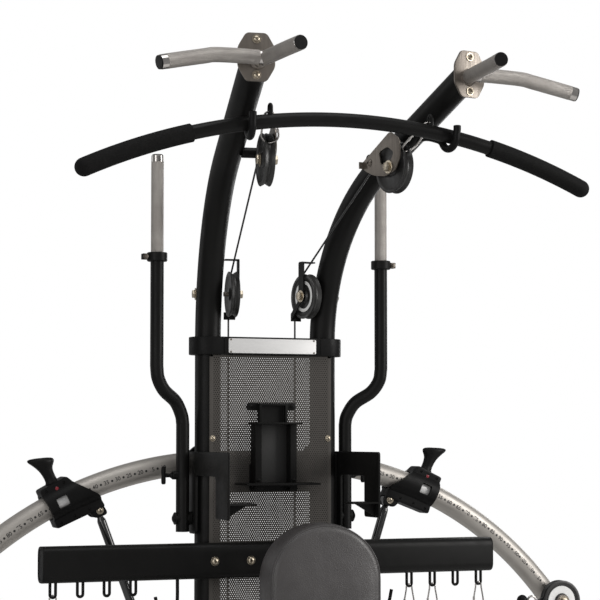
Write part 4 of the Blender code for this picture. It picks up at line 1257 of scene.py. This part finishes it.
def eyelet(side, sign):
    """A bent-rod eye on the bar, and the spring hook that hangs from it."""
    x = EYELET_X
    z = lat_height(x)
    wire = 0.0038
    top = z + HANDLE_R + 0.018
    path = [(x - 0.0005, LAT_Y + 0.006, z + 0.006), (x - 0.0005, LAT_Y + 0.006, top - 0.010),
            (x, LAT_Y + 0.004, top - 0.003), (x, LAT_Y, top), (x, LAT_Y - 0.004, top - 0.003),
            (x + 0.0005, LAT_Y - 0.006, top - 0.010), (x + 0.0005, LAT_Y - 0.006, z + 0.006)]
    piece(side + "_bar_eye", sweep(smooth_path(path, 6), wire, 20), "powder_coat", "lat_bar", sign=sign)
    route = cable_route()
    far = tube_space(1).inverted() @ COLUMN @ Vector((x, LAT_Y + 0.004, top - 0.012))
    near = Vector(route[0]) + (Vector(route[0]) - Vector(route[1])).normalized() * 0.018
    link = moved(snap_hook((0, 0, 0), (far - near).length + 0.008, 0.0020), far, turned_to(far - near))
    piece(side + "_bar_link", link, "plain_chrome", "lat_bar", tube_space(sign), sign)


# ---------------------------------------------------------------- dip arms
def arm_bracket(side, sign):
    """The plate beside an upright that carries a dip arm, with its lip, gusset, tab and welds."""
    outline = [(0.014, 1.100), (0.014, 1.272), (-0.222, 1.272), (-0.222, 1.136), (-0.150, 1.136),
               (-0.150, 1.222), (-0.026, 1.222), (-0.026, 1.100)]
    inner, outer = 0.1635, 0.1685
    part, _ = one_side(side, sign)
    plate = prism(rounded(outline, 0.008), "X", inner, outer, 0.0012)
    lip = block((0.104, -0.2218, 1.165), (inner + 0.002, -0.178, 1.169), 0.0008)
    gusset_outline = [(0.118, 1.1655), (inner + 0.002, 1.1655), (inner + 0.002, 1.138)]
    gusset = prism(gusset_outline, "Y", -0.2020, -0.1985, 0.0005)
    tab = block((UPRIGHT_X + UPRIGHT_R - 0.002, -0.010, 1.105), (inner + 0.002, 0.010, 1.268), 0.0008)
    part("arm_plate", union(plate, lip, gusset, tab), "powder_coat", node="arm_bracket")
    welds = [block((UPRIGHT_X + UPRIGHT_R - 0.003, y - 0.0022, 1.107),
                   (inner - 0.0002, y + 0.0022, 1.266), 0.0018) for y in (-0.0105, 0.0105)]
    part("arm_plate_welds", together(*welds), "powder_coat")


def dip_arm(side, sign):
    """A folding arm on its pivot, with a clamp and a knurled handle on top."""
    part, fix = one_side(side, sign, body=side + "_dip_arm")
    knots = [(DIP_X, DIP_Y, 1.330), (0.191, 0.000, 1.350), (0.207, -0.008, 1.3775), (0.237, -0.024, 1.4000),
             (0.253, -0.032, 1.4250), (DIP_UPPER_X, DIP_UPPER_Y, 1.450)]
    path = [Vector((DIP_X, DIP_Y, 1.104)), Vector((DIP_X, DIP_Y, 1.2)), *smooth_path(knots, 9),
            Vector((DIP_UPPER_X, DIP_UPPER_Y, DIP_TOP_Z))]
    part("dip_tube", sweep(path, HANDLE_R, 44), "powder_coat", node="dip_arm")
    pivot = (0, DIP_Y, DIP_PIVOT_Z)
    boss = turned([(0.1689, 0), (0.1689, 0.0135), (0.1700, 0.0145), (0.1735, 0.0145), (0.1745, 0.0120),
                   (0.201, 0.0120), (0.2025, 0.0105), (0.2025, 0)], "X", 40, pivot)
    socket = turned([(0.190, 0), (0.190, 0.009), (0.2090, 0.009), (0.2105, 0.0078), (0.2105, 0)], "X", 40,
                    (0, DIP_Y, PIN_Z))
    part("dip_bosses", union(boss, socket), "powder_coat")
    pivot_bolt = [((0.2025, DIP_Y, DIP_PIVOT_Z), OUTWARD)]
    fix("dip_pivot_bolt", dome_bolt(0.0098, 0.006), pivot_bolt, "powder_coat")
    centre = Vector((DIP_UPPER_X, DIP_UPPER_Y, DIP_TOP_Z))
    clamp = turned([(-0.003, 0.0125), (-0.003, 0.0200), (-0.0018, 0.0212), (0.0143, 0.0212), (0.0155, 0.0200),
                    (0.0155, 0.0125)], "Z", 56, centre)
    ears = [block(centre + Vector((0.017, y - 0.0026, 0.0002)),
                  centre + Vector((0.033, y + 0.0026, 0.0123)), 0.0010) for y in (-0.0044, 0.0044)]
    slit = block(centre + Vector((0.010, -0.0014, -0.01)), centre + Vector((0.05, 0.0014, 0.03)), 0.0003)
    part("dip_clamp", cut(union(clamp, *ears), slit), "powder_coat")
    clamp_bolts = [(centre + Vector((0.0265, s * 0.0070, 0.0062)), (0, s, 0)) for s in (-1, 1)]
    fix("dip_clamp_bolt", hex_bolt(0.0042, 0.0045), clamp_bolts, "plated_steel")
    grip_low, grip_high = DIP_TOP_Z + 0.0158, HANDLE_TOP_Z
    heights = np.linspace(grip_low - 0.003, grip_high - 0.016, 40)
    grip = [centre + Vector((0, 0, z - DIP_TOP_Z)) for z in heights]
    part("dip_knurl", sweep(grip, 0.0132, 48), "knurled_chrome", node="dip_handle")
    upper = (DIP_UPPER_X, DIP_UPPER_Y, 0)
    band = turned([(grip_high - 0.0165, 0), (grip_high - 0.0165, 0.0130), (grip_high - 0.003, 0.0130),
                   (grip_high - 0.002, 0.0122), (grip_high - 0.002, 0)], "Z", 48, upper)
    part("dip_band", band, "plain_chrome")
    plug = turned([(grip_high - 0.003, 0), (grip_high - 0.003, 0.0114), (grip_high - 0.0006, 0.0114),
                   (grip_high, 0.0104), (grip_high, 0)], "Z", 40, upper)
    part("dip_plug", plug, "moulded_plastic")
    pull_pin(side, sign)


def pull_pin(side, sign):
    """A sprung pin with a cross handle."""
    shank = turned([(0.2108, 0), (0.2108, 0.0060), (0.2120, 0.0066), (0.2150, 0.0045), (0.2290, 0.0045),
                    (0.2290, 0)], "X", 32, (0, DIP_Y, PIN_Z))
    bar = turned([(-0.0190, 0), (-0.0188, 0.0030), (-0.0165, 0.0046), (-0.010, 0.0050), (0.0, 0.0044),
                  (0.010, 0.0050), (0.0165, 0.0046), (0.0188, 0.0030), (0.0190, 0)], "Z", 32,
                 (0.2292, DIP_Y, PIN_Z))
    part, _ = one_side(side, sign, body=side + "_pull_pin")
    part("pin_handle", union(shank, bar), "moulded_plastic", node="pull_pin")


# ---------------------------------------------------------------- arc rails
def arc_rail(side, sign):
    """The bent tube a slider runs on, with its end plug and printed scale."""
    space = arc_space(sign)
    part, _ = one_side(side, sign, space)
    path = arc_path(*RAIL_SPAN, 120)
    part("rail_tube", sweep(path, RAIL_R, 56), "silver_rail", node="arc_rail")
    end = Vector(path[-1])
    direction = end - Vector(path[-2])
    plug_r = RAIL_R - 0.0015
    plug = turned([(-0.002, 0), (-0.002, plug_r), (0.001, plug_r), (0.003, RAIL_R - 0.005), (0.003, 0)])
    part("rail_plug", moved(plug, end, turned_to(direction)), "moulded_plastic")
    piece(side + "_scale", scale_marks(sign), "print_black", space=space)


def scale_marks(sign):
    """The numbers and dots printed along a rail's front, laid on its surface."""
    shell = RAIL_R + 0.00015
    height = 0.0124

    def wrap(mesh, middle_angle):
        """Lays a flat mark on the tube, upright towards the rail's outside."""
        bm = bmesh.new()
        bm.from_mesh(mesh)
        for vert in bm.verts:
            turn = middle_angle + sign * vert.co.x / ARC_R
            around = vert.co.y / shell
            x, z = on_arc(turn, ARC_R + shell * math.sin(around))
            vert.co = (sign * x, -shell * math.cos(around), z)
        result = bpy.data.meshes.new("mark")
        bm.to_mesh(result)
        bm.free()
        return result

    marks = []
    for value in range(10, 125, 5):
        angle = SCALE_ZERO + value * SCALE_STEP
        text = bpy.data.curves.new("number", "FONT")
        text.body = str(value)
        text.size = height
        text.align_x = "CENTER"
        text.align_y = "CENTER"
        text.resolution_u = 3
        text.offset = 0.0002
        item = bpy.data.objects.new("number", text)
        bpy.context.scene.collection.objects.link(item)
        flat = bpy.data.meshes.new_from_object(item.evaluated_get(bpy.context.evaluated_depsgraph_get()))
        bpy.data.objects.remove(item)
        marks.append(wrap(flat, angle))
        if value < 120:
            dot = bmesh.new()
            bmesh.ops.create_circle(dot, cap_ends=True, radius=0.0026, segments=20)
            flat_dot = bpy.data.meshes.new("dot")
            dot.to_mesh(flat_dot)
            dot.free()
            marks.append(wrap(flat_dot, angle + 2.5 * SCALE_STEP))
    return together(*marks)


def hub():
    """The plate behind the column that joins both arc rails."""
    corners = [(-0.165, 1.185), (0.165, 1.185), (0.165, 1.270), (0.148, 1.285), (0.112, 1.285),
               (0.085, 1.245), (-0.085, 1.245), (-0.112, 1.285), (-0.148, 1.285), (-0.165, 1.270)]
    outline = rounded(corners, 0.008)
    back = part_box("arc_hub_plate")[1].y - COLUMN_Y
    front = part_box("arc_hub_plate")[0].y - COLUMN_Y
    piece("hub_plate", prism(outline, "Y", front, back, 0.001), "powder_coat", stands_for=["arc_hub_plate"])
    bolts = [((x, back, z), (0, 1, 0)) for x in (-0.148, 0.148) for z in (1.202, 1.252)]
    fasteners("hub_bolts", hex_bolt(0.0085, 0.007), bolts)


def end_pulley(side, sign):
    """The free pulley on an arc rail's lower end, on its axle."""
    part, fix = one_side(side, sign, arc_space(sign))
    x, z = on_arc(END_PULLEY_ANGLE, ARC_R)
    y = -ARC_Y + 0.018
    centre = (x, y, z)
    wheel = turned(wheel_profile(END_PULLEY_R, PULLEY_W, 0.0064, 0.0135), "Y", 72, centre)
    part("end_wheel", wheel, "pulley_nylon", side + "_end_pulley", "end_pulley")
    label_profile = [(-0.0076, 0.0185), (-0.0076, 0.0345), (-0.0066, 0.0352), (-0.0066, 0.0180)]
    label = turned(label_profile, "Y", 64, centre)
    part("end_label", label, "label_ring", side + "_end_pulley")
    back = -ARC_Y + 0.0386
    front = -ARC_Y
    axle = turned([(back, 0), (back, 0.015), (back - 0.003, 0.015), (back - 0.004, 0.014),
                   (back - 0.009, 0.009), (back - 0.009, 0.006), (front + 0.0060, 0.006),
                   (front + 0.0060, 0.0155), (front + 0.0050, 0.016), (front + 0.0030, 0.016),
                   (front + 0.0020, 0.0150), (front + 0.0015, 0)], "Y", 48, (x, 0, z))
    part("end_axle", axle, "plated_steel", node="end_pulley_axle")
    fix("end_bolt", hex_bolt(0.0090, 0.0060), [((x, front + 0.0022, z), FORWARD)])
    handle_end(part, Vector(centre))


def handle_end(part, centre):
    """The wire rope in the end pulley's groove, with its ball stop and the ring for a handle."""
    radius = END_PULLEY_R - GROOVE + CABLE_R + 0.0002
    around = arc((0, 0), radius, math.radians(10), math.radians(168), 40)
    wrap = [(centre.x + a, centre.y, centre.z + b) for a, b in around]
    ring_centre = Vector((centre.x - 0.074, centre.y, centre.z + 0.003))
    tail = [(ring_centre.x + reach, centre.y, ring_centre.z) for reach in (0.014, 0.0115)]
    part("end_rope", sweep(wrap + tail, CABLE_R, 16), "cable_jacket")
    ring_turns = np.linspace(0, math.tau, 41)[:-1]
    ring_r = 0.0105
    ring = [ring_centre + Vector((ring_r * math.cos(a), 0, ring_r * math.sin(a))) for a in ring_turns]
    part("end_ring", sweep(ring, 0.0024, 16, closed=True), "plain_chrome")
    ball_turns = np.linspace(-math.pi / 2, math.pi / 2, 25)[1:-1]
    half_height, ball_r = 0.0135, 0.0125
    ball_profile = [(half_height * math.sin(a), ball_r * math.cos(a)) for a in ball_turns]
    ball = turned([(-half_height, 0), *ball_profile, (half_height, 0)], "Z", 40)
    part("end_ball", moved(ball, ring_centre + Vector((-0.0245, 0, 0.001))), "moulded_plastic")


def window_card():
    """A curved card that lies on the rail's front behind a slider's window."""
    around = [math.radians(a) for a in range(-24, 25, 4)]
    radius, half_width = RAIL_R + 0.0007, 0.0140
    card = bmesh.new()
    rows = [[card.verts.new((x, -radius * math.cos(a), radius * math.sin(a))) for a in around]
            for x in (-half_width, half_width)]
    for k in range(len(around) - 1):
        card.faces.new((rows[0][k], rows[1][k], rows[1][k + 1], rows[0][k + 1]))
    return to_mesh(card)


def slider(side, sign):
    """The housing on the rail: a round sleeve with flat flanges, a seam, a window and two cheeks."""
    part, fix = one_side(side, sign, slider_space(side, sign), side + "_slider")
    half, flange = 0.0345, 0.0200
    corners = around_arc((18.3, 0.774), (26.7, 0.774), (26.5, 0.800), (26.5, 0.862), (22.2, 0.865),
                         (21.5, 0.846), (20.3, 0.826), (18.7, 0.802))
    outline = rounded(corners, 0.006)
    reach = (math.radians(12), math.radians(34))
    sleeve = combined(prism(outline, "Y", -half - 0.01, half + 0.01), [sweep(arc_path(*reach, 60), half, 64)],
                      "INTERSECT")
    shell = union(prism(outline, "Y", -flange, flange, 0.003), sleeve)
    eye_x, eye_z = on_arc(SPRING_ANGLE, SPRING_TOP_R)
    cheek_outline = rounded(around_arc((18.20, 0.757), (20.48, 0.757), (21.4, 0.784), (18.6, 0.784)), 0.009)
    cheeks = [prism(cheek_outline, "Y", low, low + 0.005, 0.0008) for low in (-0.0165, 0.0115)]
    outside = around_arc((17.8, 0.768), (27.3, 0.768), (27.1, 0.800), (27.0, 0.870), (21.8, 0.873),
                         (21.0, 0.850), (20.0, 0.832), (18.2, 0.806))
    inside = around_arc((18.5, 0.7765), (26.5, 0.7765), (26.3, 0.800), (26.3, 0.8595), (22.35, 0.8625),
                        (21.7, 0.844), (20.4, 0.8235), (18.9, 0.8005))
    seam = prism(rounded(outside, 0.006), "Y", -0.0006, 0.0006, 0)
    core = prism(rounded(inside, 0.006), "Y", -0.002, 0.002, 0)
    groove = cut(seam, core)
    tunnel = sweep(arc_path(*reach, 40), RAIL_R + 0.0030, 48)
    window_angle = math.radians(24.25)
    window_x, window_z = on_arc(window_angle, ARC_R)
    turn = Matrix.Rotation(window_angle, 4, "Y")
    window = moved(block((-0.0125, -half - 0.01, -0.0115), (0.0125, -RAIL_R + 0.006, 0.0115), 0.0022),
                   (window_x, 0, window_z), turn)
    screw_holes, screws = [], []
    for x, z in around_arc((20.9, 0.7815), (23.4, 0.7815), (25.7, 0.7815), (22.9, 0.8550), (25.7, 0.8540)):
        screw_holes.append(rod("Y", 0.0031, -flange - 0.01, -flange + 0.002, (x, 0, z), 24, 0.0001))
        screws.append(((x, -flange + 0.002, z), FORWARD))
    clearance = rod("Y", 0.0148, -0.0113, 0.0113, (eye_x, 0, eye_z), 40)
    housing = cut(union(shell, *cheeks), tunnel, window, groove, clearance, *screw_holes)
    part("slider_housing", housing, "moulded_plastic", node="slider")
    fix("slider_screws", dome_bolt(0.0020, 0.0010), screws, "powder_coat")
    dot_x, dot_z = on_arc(math.radians(24.15), 0.8500)
    lens = turned([(0.004, 0), (0.004, 0.0038), (-0.0006, 0.0038), (-0.0014, 0.0030), (-0.0018, 0)], "Y", 32,
                  (dot_x, -flange, dot_z))
    part("slider_lens", lens, "red_lens")
    part("slider_card", moved(window_card(), (window_x, 0, window_z), turn), "name_plate")
    pin = rod("Y", 0.0048, -0.019, 0.019, (eye_x, 0, eye_z), 28)
    part("slider_pin", pin, "plated_steel")
    pin_bolts = [((eye_x, s * 0.0166, eye_z), (0, s, 0)) for s in (-1, 1)]
    fix("slider_pin_bolts", dome_bolt(0.0060, 0.004), pin_bolts)


def selector_knob(side, sign):
    """A thumb-shaped pull that leans outward, on a round neck."""
    # Each section's rise, shift outward, half width and half depth.
    sections = [(0.0005, 0.0000, 0.0142, 0.0132), (0.0030, 0.0000, 0.0142, 0.0132),
                (0.0050, 0.0000, 0.0125, 0.0116), (0.0130, 0.0000, 0.0120, 0.0112),
                (0.0220, 0.0004, 0.0126, 0.0116), (0.0300, 0.0010, 0.0144, 0.0122),
                (0.0370, 0.0018, 0.0178, 0.0132), (0.0425, 0.0026, 0.0218, 0.0142),
                (0.0470, 0.0030, 0.0252, 0.0148), (0.0510, 0.0030, 0.0268, 0.0148),
                (0.0540, 0.0026, 0.0258, 0.0138), (0.0560, 0.0018, 0.0216, 0.0112),
                (0.0570, 0.0010, 0.0130, 0.0070)]
    slope = math.tan(math.radians(20))
    rings = []
    for rise, lean, half_x, half_y in sections:
        tilt = slope * min(max((rise - 0.012) / 0.030, 0), 1)
        ring = []
        for t in [math.tau * k / 40 for k in range(40)]:
            across = lean + half_x * math.cos(t)
            ring.append((across, half_y * math.sin(t), KNOB_ROOT + rise + across * tilt))
        rings.append(ring)
    knob = moved(loft(rings), turn=Matrix.Rotation(KNOB_ANGLE, 4, "Y"))
    part, _ = one_side(side, sign, slider_space(side, sign), side + "_selector_knob")
    part("knob_grip", knob, "moulded_plastic", node="selector_knob", sharp=60)


def gas_spring(side, sign):
    """The cylinder with its top eye, gland and wiper, and the rod with its lower eye."""
    part, _ = one_side(side, sign, slider_space(side, sign))
    lean = Matrix.Rotation(SPRING_ANGLE, 4, "Y")
    top = SPRING_TOP_R
    cylinder = turned([(0.330, 0.0052), (0.330, 0.0076), (0.3312, 0.0084), (0.337, 0.0084), (0.338, 0.0090),
                       (0.3395, 0.0095), (top - 0.026, 0.0095), (top - 0.022, 0.0090), (top - 0.017, 0.0068),
                       (top - 0.008, 0.0068), (top - 0.008, 0.0052)], "Z", 48)
    cap = rod("Z", 0.0066, top - 0.016, top - 0.007, sides=40)
    eye = turned(both_halves([(0.0080, 0.0053), (0.0080, 0.0118), (0.0070, 0.0125)]), "Y", 40, (0, 0, top))
    hole = rod("Y", 0.0053, -0.02, 0.02, (0, 0, top), 40)
    shape = union(cylinder, cap, eye)
    part("gas_cylinder", moved(cut(shape, hole), turn=lean), "gloss_cylinder", side + "_gas_tube", "gas_tube")
    gland = turned([(0.3285, 0.0050), (0.3285, 0.0070), (0.3325, 0.0082), (0.3345, 0.0087), (0.3355, 0.0086),
                    (0.3355, 0.0050)], "Z", 40)
    part("gas_gland", moved(gland, turn=lean), "plated_steel", side + "_gas_tube")
    lower_eye = turned(both_halves([(0.0070, 0.0045), (0.0070, 0.0113), (0.0062, 0.0120)]), "Y", 40)
    lower_hole = rod("Y", 0.0045, -0.02, 0.02, sides=32)
    piston = cut(union(rod("Z", 0.0045, 0.010, 0.380, sides=32), lower_eye), lower_hole)
    part("gas_piston", moved(piston, turn=lean), "chromed_rod", side + "_gas_rod", "gas_rod")


# ---------------------------------------------------------------- pads
def offset_outline(points, distance):
    """A closed outline in a plane moved inward along its normals."""
    result = []
    count = len(points)
    for i in range(count):
        a, b = Vector(points[i - 1]), Vector(points[(i + 1) % count])
        t = (b - a).normalized()
        result.append((points[i][0] - t.y * distance, points[i][1] + t.x * distance))
    return result


def evenly(points, count):
    """A closed outline walked in equal steps."""
    loop = [Vector(p) for p in points] + [Vector(points[0])]
    total = sum((b - a).length for a, b in zip(loop, loop[1:]))
    result, i, walked = [], 0, 0.0
    for k in range(count):
        target = total * k / count
        while walked + (loop[i + 1] - loop[i]).length < target:
            walked += (loop[i + 1] - loop[i]).length
            i += 1
        segment = loop[i + 1] - loop[i]
        result.append(tuple(loop[i] + segment * ((target - walked) / max(segment.length, 1e-9))))
    return result


def stitch_row(points):
    """Short threads laid end to end with small gaps, along a closed line."""
    threads = []
    for i in range(0, len(points) - 1, 2):
        a, b = Vector(points[i]), Vector(points[i + 1])
        ends = [a.lerp(b, t) for t in (-0.15, 0.15, 0.85, 1.15)]
        threads.append(sweep(ends, [0.00028, 0.00048, 0.00048, 0.00028], 8))
    return together(*threads)


def pad_with_seams(name, node, outline, place, thickness):
    """A boxed pad: swelling side walls, a rounded edge with a welt and stitches on it, and a crowned face.

    place turns a point of the outline and a depth below the face plane into the column's frame.
    """
    edge, crown, swelling = 0.016, 0.0075, 0.0022
    side_inset, back_edge = 0.001, 0.003
    points = evenly(outline, 220)
    mid = (sum(p[0] for p in points) / len(points), sum(p[1] for p in points) / len(points))

    def ring(inset, depth, share=1.0, line=None):
        result = []
        for x, y in offset_outline(line or points, inset):
            x, y = mid[0] + (x - mid[0]) * share, mid[1] + (y - mid[1]) * share
            unevenness = 0.0005 * noise.noise(Vector((x * 34, y * 34, 0.3)))
            result.append(place((x, y), depth + unevenness))
        return result

    wall_end = thickness - back_edge
    rings = [ring(0.010, thickness), ring(0.004, thickness), ring(side_inset, wall_end)]
    wall = wall_end - crown - edge
    for k in range(1, 9):
        swell = swelling * math.sin(math.pi * k / 9)
        rings.append(ring(side_inset - swell, wall_end - wall * k / 9))
    turns = [math.pi / 2 * k / 10 for k in range(11)]
    for a in turns:
        rings.append(ring(side_inset + edge * (1 - math.cos(a)), crown + edge * (1 - math.sin(a))))
    for k in range(1, 25):
        share = 1 - k / 24.5
        rings.append(ring(side_inset + edge, crown * share ** 4, share))
    pad = piece(name, loft(rings), "leather", space=COLUMN, stands_for=[node], sharp=180)

    def on_edge(turn, lift, line):
        """A closed line on the rounded edge, lifted a little off the surface."""
        out = edge + lift
        inset = side_inset + edge - out * math.cos(turn)
        return ring(inset, crown + edge - out * math.sin(turn), line=line)

    welt = on_edge(math.radians(38), 0.0003, points)
    piece(name + "_welt", sweep([Vector(p) for p in welt], 0.0014, 10, closed=True), "leather", sharp=180)
    stitch = 0.0044
    count = 2 * int(sum((Vector(a) - Vector(b)).length for a, b in zip(points, points[1:])) / stitch)
    fine = evenly(outline, count)
    for row, degrees in enumerate((24, 54)):
        stitches = stitch_row(on_edge(math.radians(degrees), 0.0001, fine))
        piece(f"{name}_stitches_{row}", stitches, "thread", sharp=180)


def pads():
    """The backrest and the seat, each filling its solid."""
    low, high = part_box("backrest_pad")
    front, back = low.y - COLUMN_Y, high.y - COLUMN_Y
    half = (high.x - low.x) / 2
    shoulder = 1.020
    crown = [(x, shoulder + (z - shoulder) * (high.z - shoulder) / half)
             for x, z in arc((0, shoulder), half, 0, math.pi, 40)]
    lower = [(-half, 0.600), (-half, 0.560), (-half * 0.80, low.z), (0, low.z), (half * 0.80, low.z),
             (half, 0.560), (half, 0.600)]
    pad_with_seams("backrest_cushion", "backrest_pad", [*crown, *lower],
                   lambda p, depth: (p[0], front + depth, p[1]), back - front)
    low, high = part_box("seat_pad")
    top = high.z
    rear, nose, half = high.y - COLUMN_Y, low.y - COLUMN_Y, (high.x - low.x) / 2
    outline = rounded([(half * 0.67, rear), (-half * 0.67, rear), (-half, (rear + nose) / 2),
                       (-half * 0.83, nose), (half * 0.83, nose), (half, (rear + nose) / 2)], 0.045)
    pad_with_seams("seat_cushion", "seat_pad", outline,
                   lambda p, depth: (p[0], p[1], top - depth), top - low.z)


# ---------------------------------------------------------------- stage
def floor_disc():
    """A pale round floor that is not part of the machine."""
    bm = bmesh.new()
    bmesh.ops.create_circle(bm, cap_ends=True, radius=3.5, segments=96)
    mesh = to_mesh(bm)
    mesh.materials.append(finish("pale_floor"))
    floor = bpy.data.objects.new("floor", mesh)
    bpy.context.scene.collection.objects.link(floor)


def lights():
    """Soft area lights that all face the machine's upper half."""
    target = Vector((0, 0.3, 1.35))
    for name, place, size, power, tint in (
            ("key", (3.0, -1.8, 2.3), (1.4, 2.4), 96, (1.0, 0.985, 0.965)),
            ("fill", (-3.2, -1.8, 2.0), (1.2, 2.4), 26, (1.0, 0.99, 0.98)),
            ("front", (-2.4, -3.4, 1.0), (1.6, 2.0), 16, (1.0, 0.985, 0.96)),
            ("top", (0.0, -0.6, 4.2), (2.4, 1.6), 36, (1, 1, 1)),
            ("rim_right", (2.6, 2.6, 1.9), (0.7, 2.4), 16, (1, 1, 1)),
            ("rim_left", (-2.6, 2.6, 1.9), (0.7, 2.4), 8, (1, 1, 1))):
        light = bpy.data.lights.new(name, "AREA")
        light.shape = "RECTANGLE"
        light.size, light.size_y = size
        light.energy = power
        light.color = tint
        lamp = bpy.data.objects.new(name, light)
        lamp.location = place
        lamp.rotation_euler = (target - Vector(place)).to_track_quat("-Z", "Y").to_euler()
        lamp.visible_camera = False
        bpy.context.scene.collection.objects.link(lamp)


def surround_light():
    """Even grey light from all round, with a white backdrop behind the machine."""
    world = bpy.data.worlds.new("studio")
    bpy.context.scene.world = world
    world.use_nodes = True
    tree = world.node_tree
    surround = tree.nodes["Background"]
    surround.inputs["Color"].default_value = (0.80, 0.80, 0.80, 1)
    surround.inputs["Strength"].default_value = 0.42
    backdrop = tree.nodes.new("ShaderNodeBackground")
    backdrop.inputs["Color"].default_value = (1, 1, 1, 1)
    backdrop.inputs["Strength"].default_value = 1.0
    seen = tree.nodes.new("ShaderNodeLightPath")
    blend = tree.nodes.new("ShaderNodeMixShader")
    tree.links.new(seen.outputs["Is Camera Ray"], blend.inputs["Fac"])
    tree.links.new(surround.outputs["Background"], blend.inputs[1])
    tree.links.new(backdrop.outputs["Background"], blend.inputs[2])
    tree.links.new(blend.outputs["Shader"], tree.nodes["World Output"].inputs["Surface"])
    bpy.context.scene.view_settings.view_transform = "Standard"


def camera():
    """The viewpoint, a little left of the front and just below shoulder height."""
    data = bpy.data.cameras.new("camera")
    data.lens = 114.9
    data.sensor_width = 36
    data.shift_y = 0.05
    item = bpy.data.objects.new("camera", data)
    item.location = (-1.5048, -3.8294 + COLUMN_Y, 1.3035)
    pitch, yaw = math.radians(3.19), math.radians(22.48)
    item.rotation_euler = (math.pi / 2 + pitch, 0, -yaw)
    bpy.context.scene.collection.objects.link(item)
    bpy.context.scene.camera = item


def build():
    """Every piece of the machine."""
    collar()
    perforated_panel()
    cross_beam()
    loops_and_hooks()
    accessory_bracket()
    base()
    seat_structure()
    hub()
    lat_bar()
    for side, sign in SIDES:
        upright(side, sign)
        pull_up_handle(side, sign)
        bar_hook(side, sign)
        top_pulley(side, sign)
        mid_pulley(side, sign)
        cable(side, sign)
        arm_bracket(side, sign)
        dip_arm(side, sign)
        arc_rail(side, sign)
        end_pulley(side, sign)
        slider(side, sign)
        selector_knob(side, sign)
        gas_spring(side, sign)
        foam_roller(side + "_knee_foam", side + "_knee_roller", side + "_knee_roller")
        foam_roller(side + "_ankle_foam", side + "_ankle_roller", side + "_ankle_roller")
    pads()


build()
floor_disc()
lights()
surround_light()
camera()
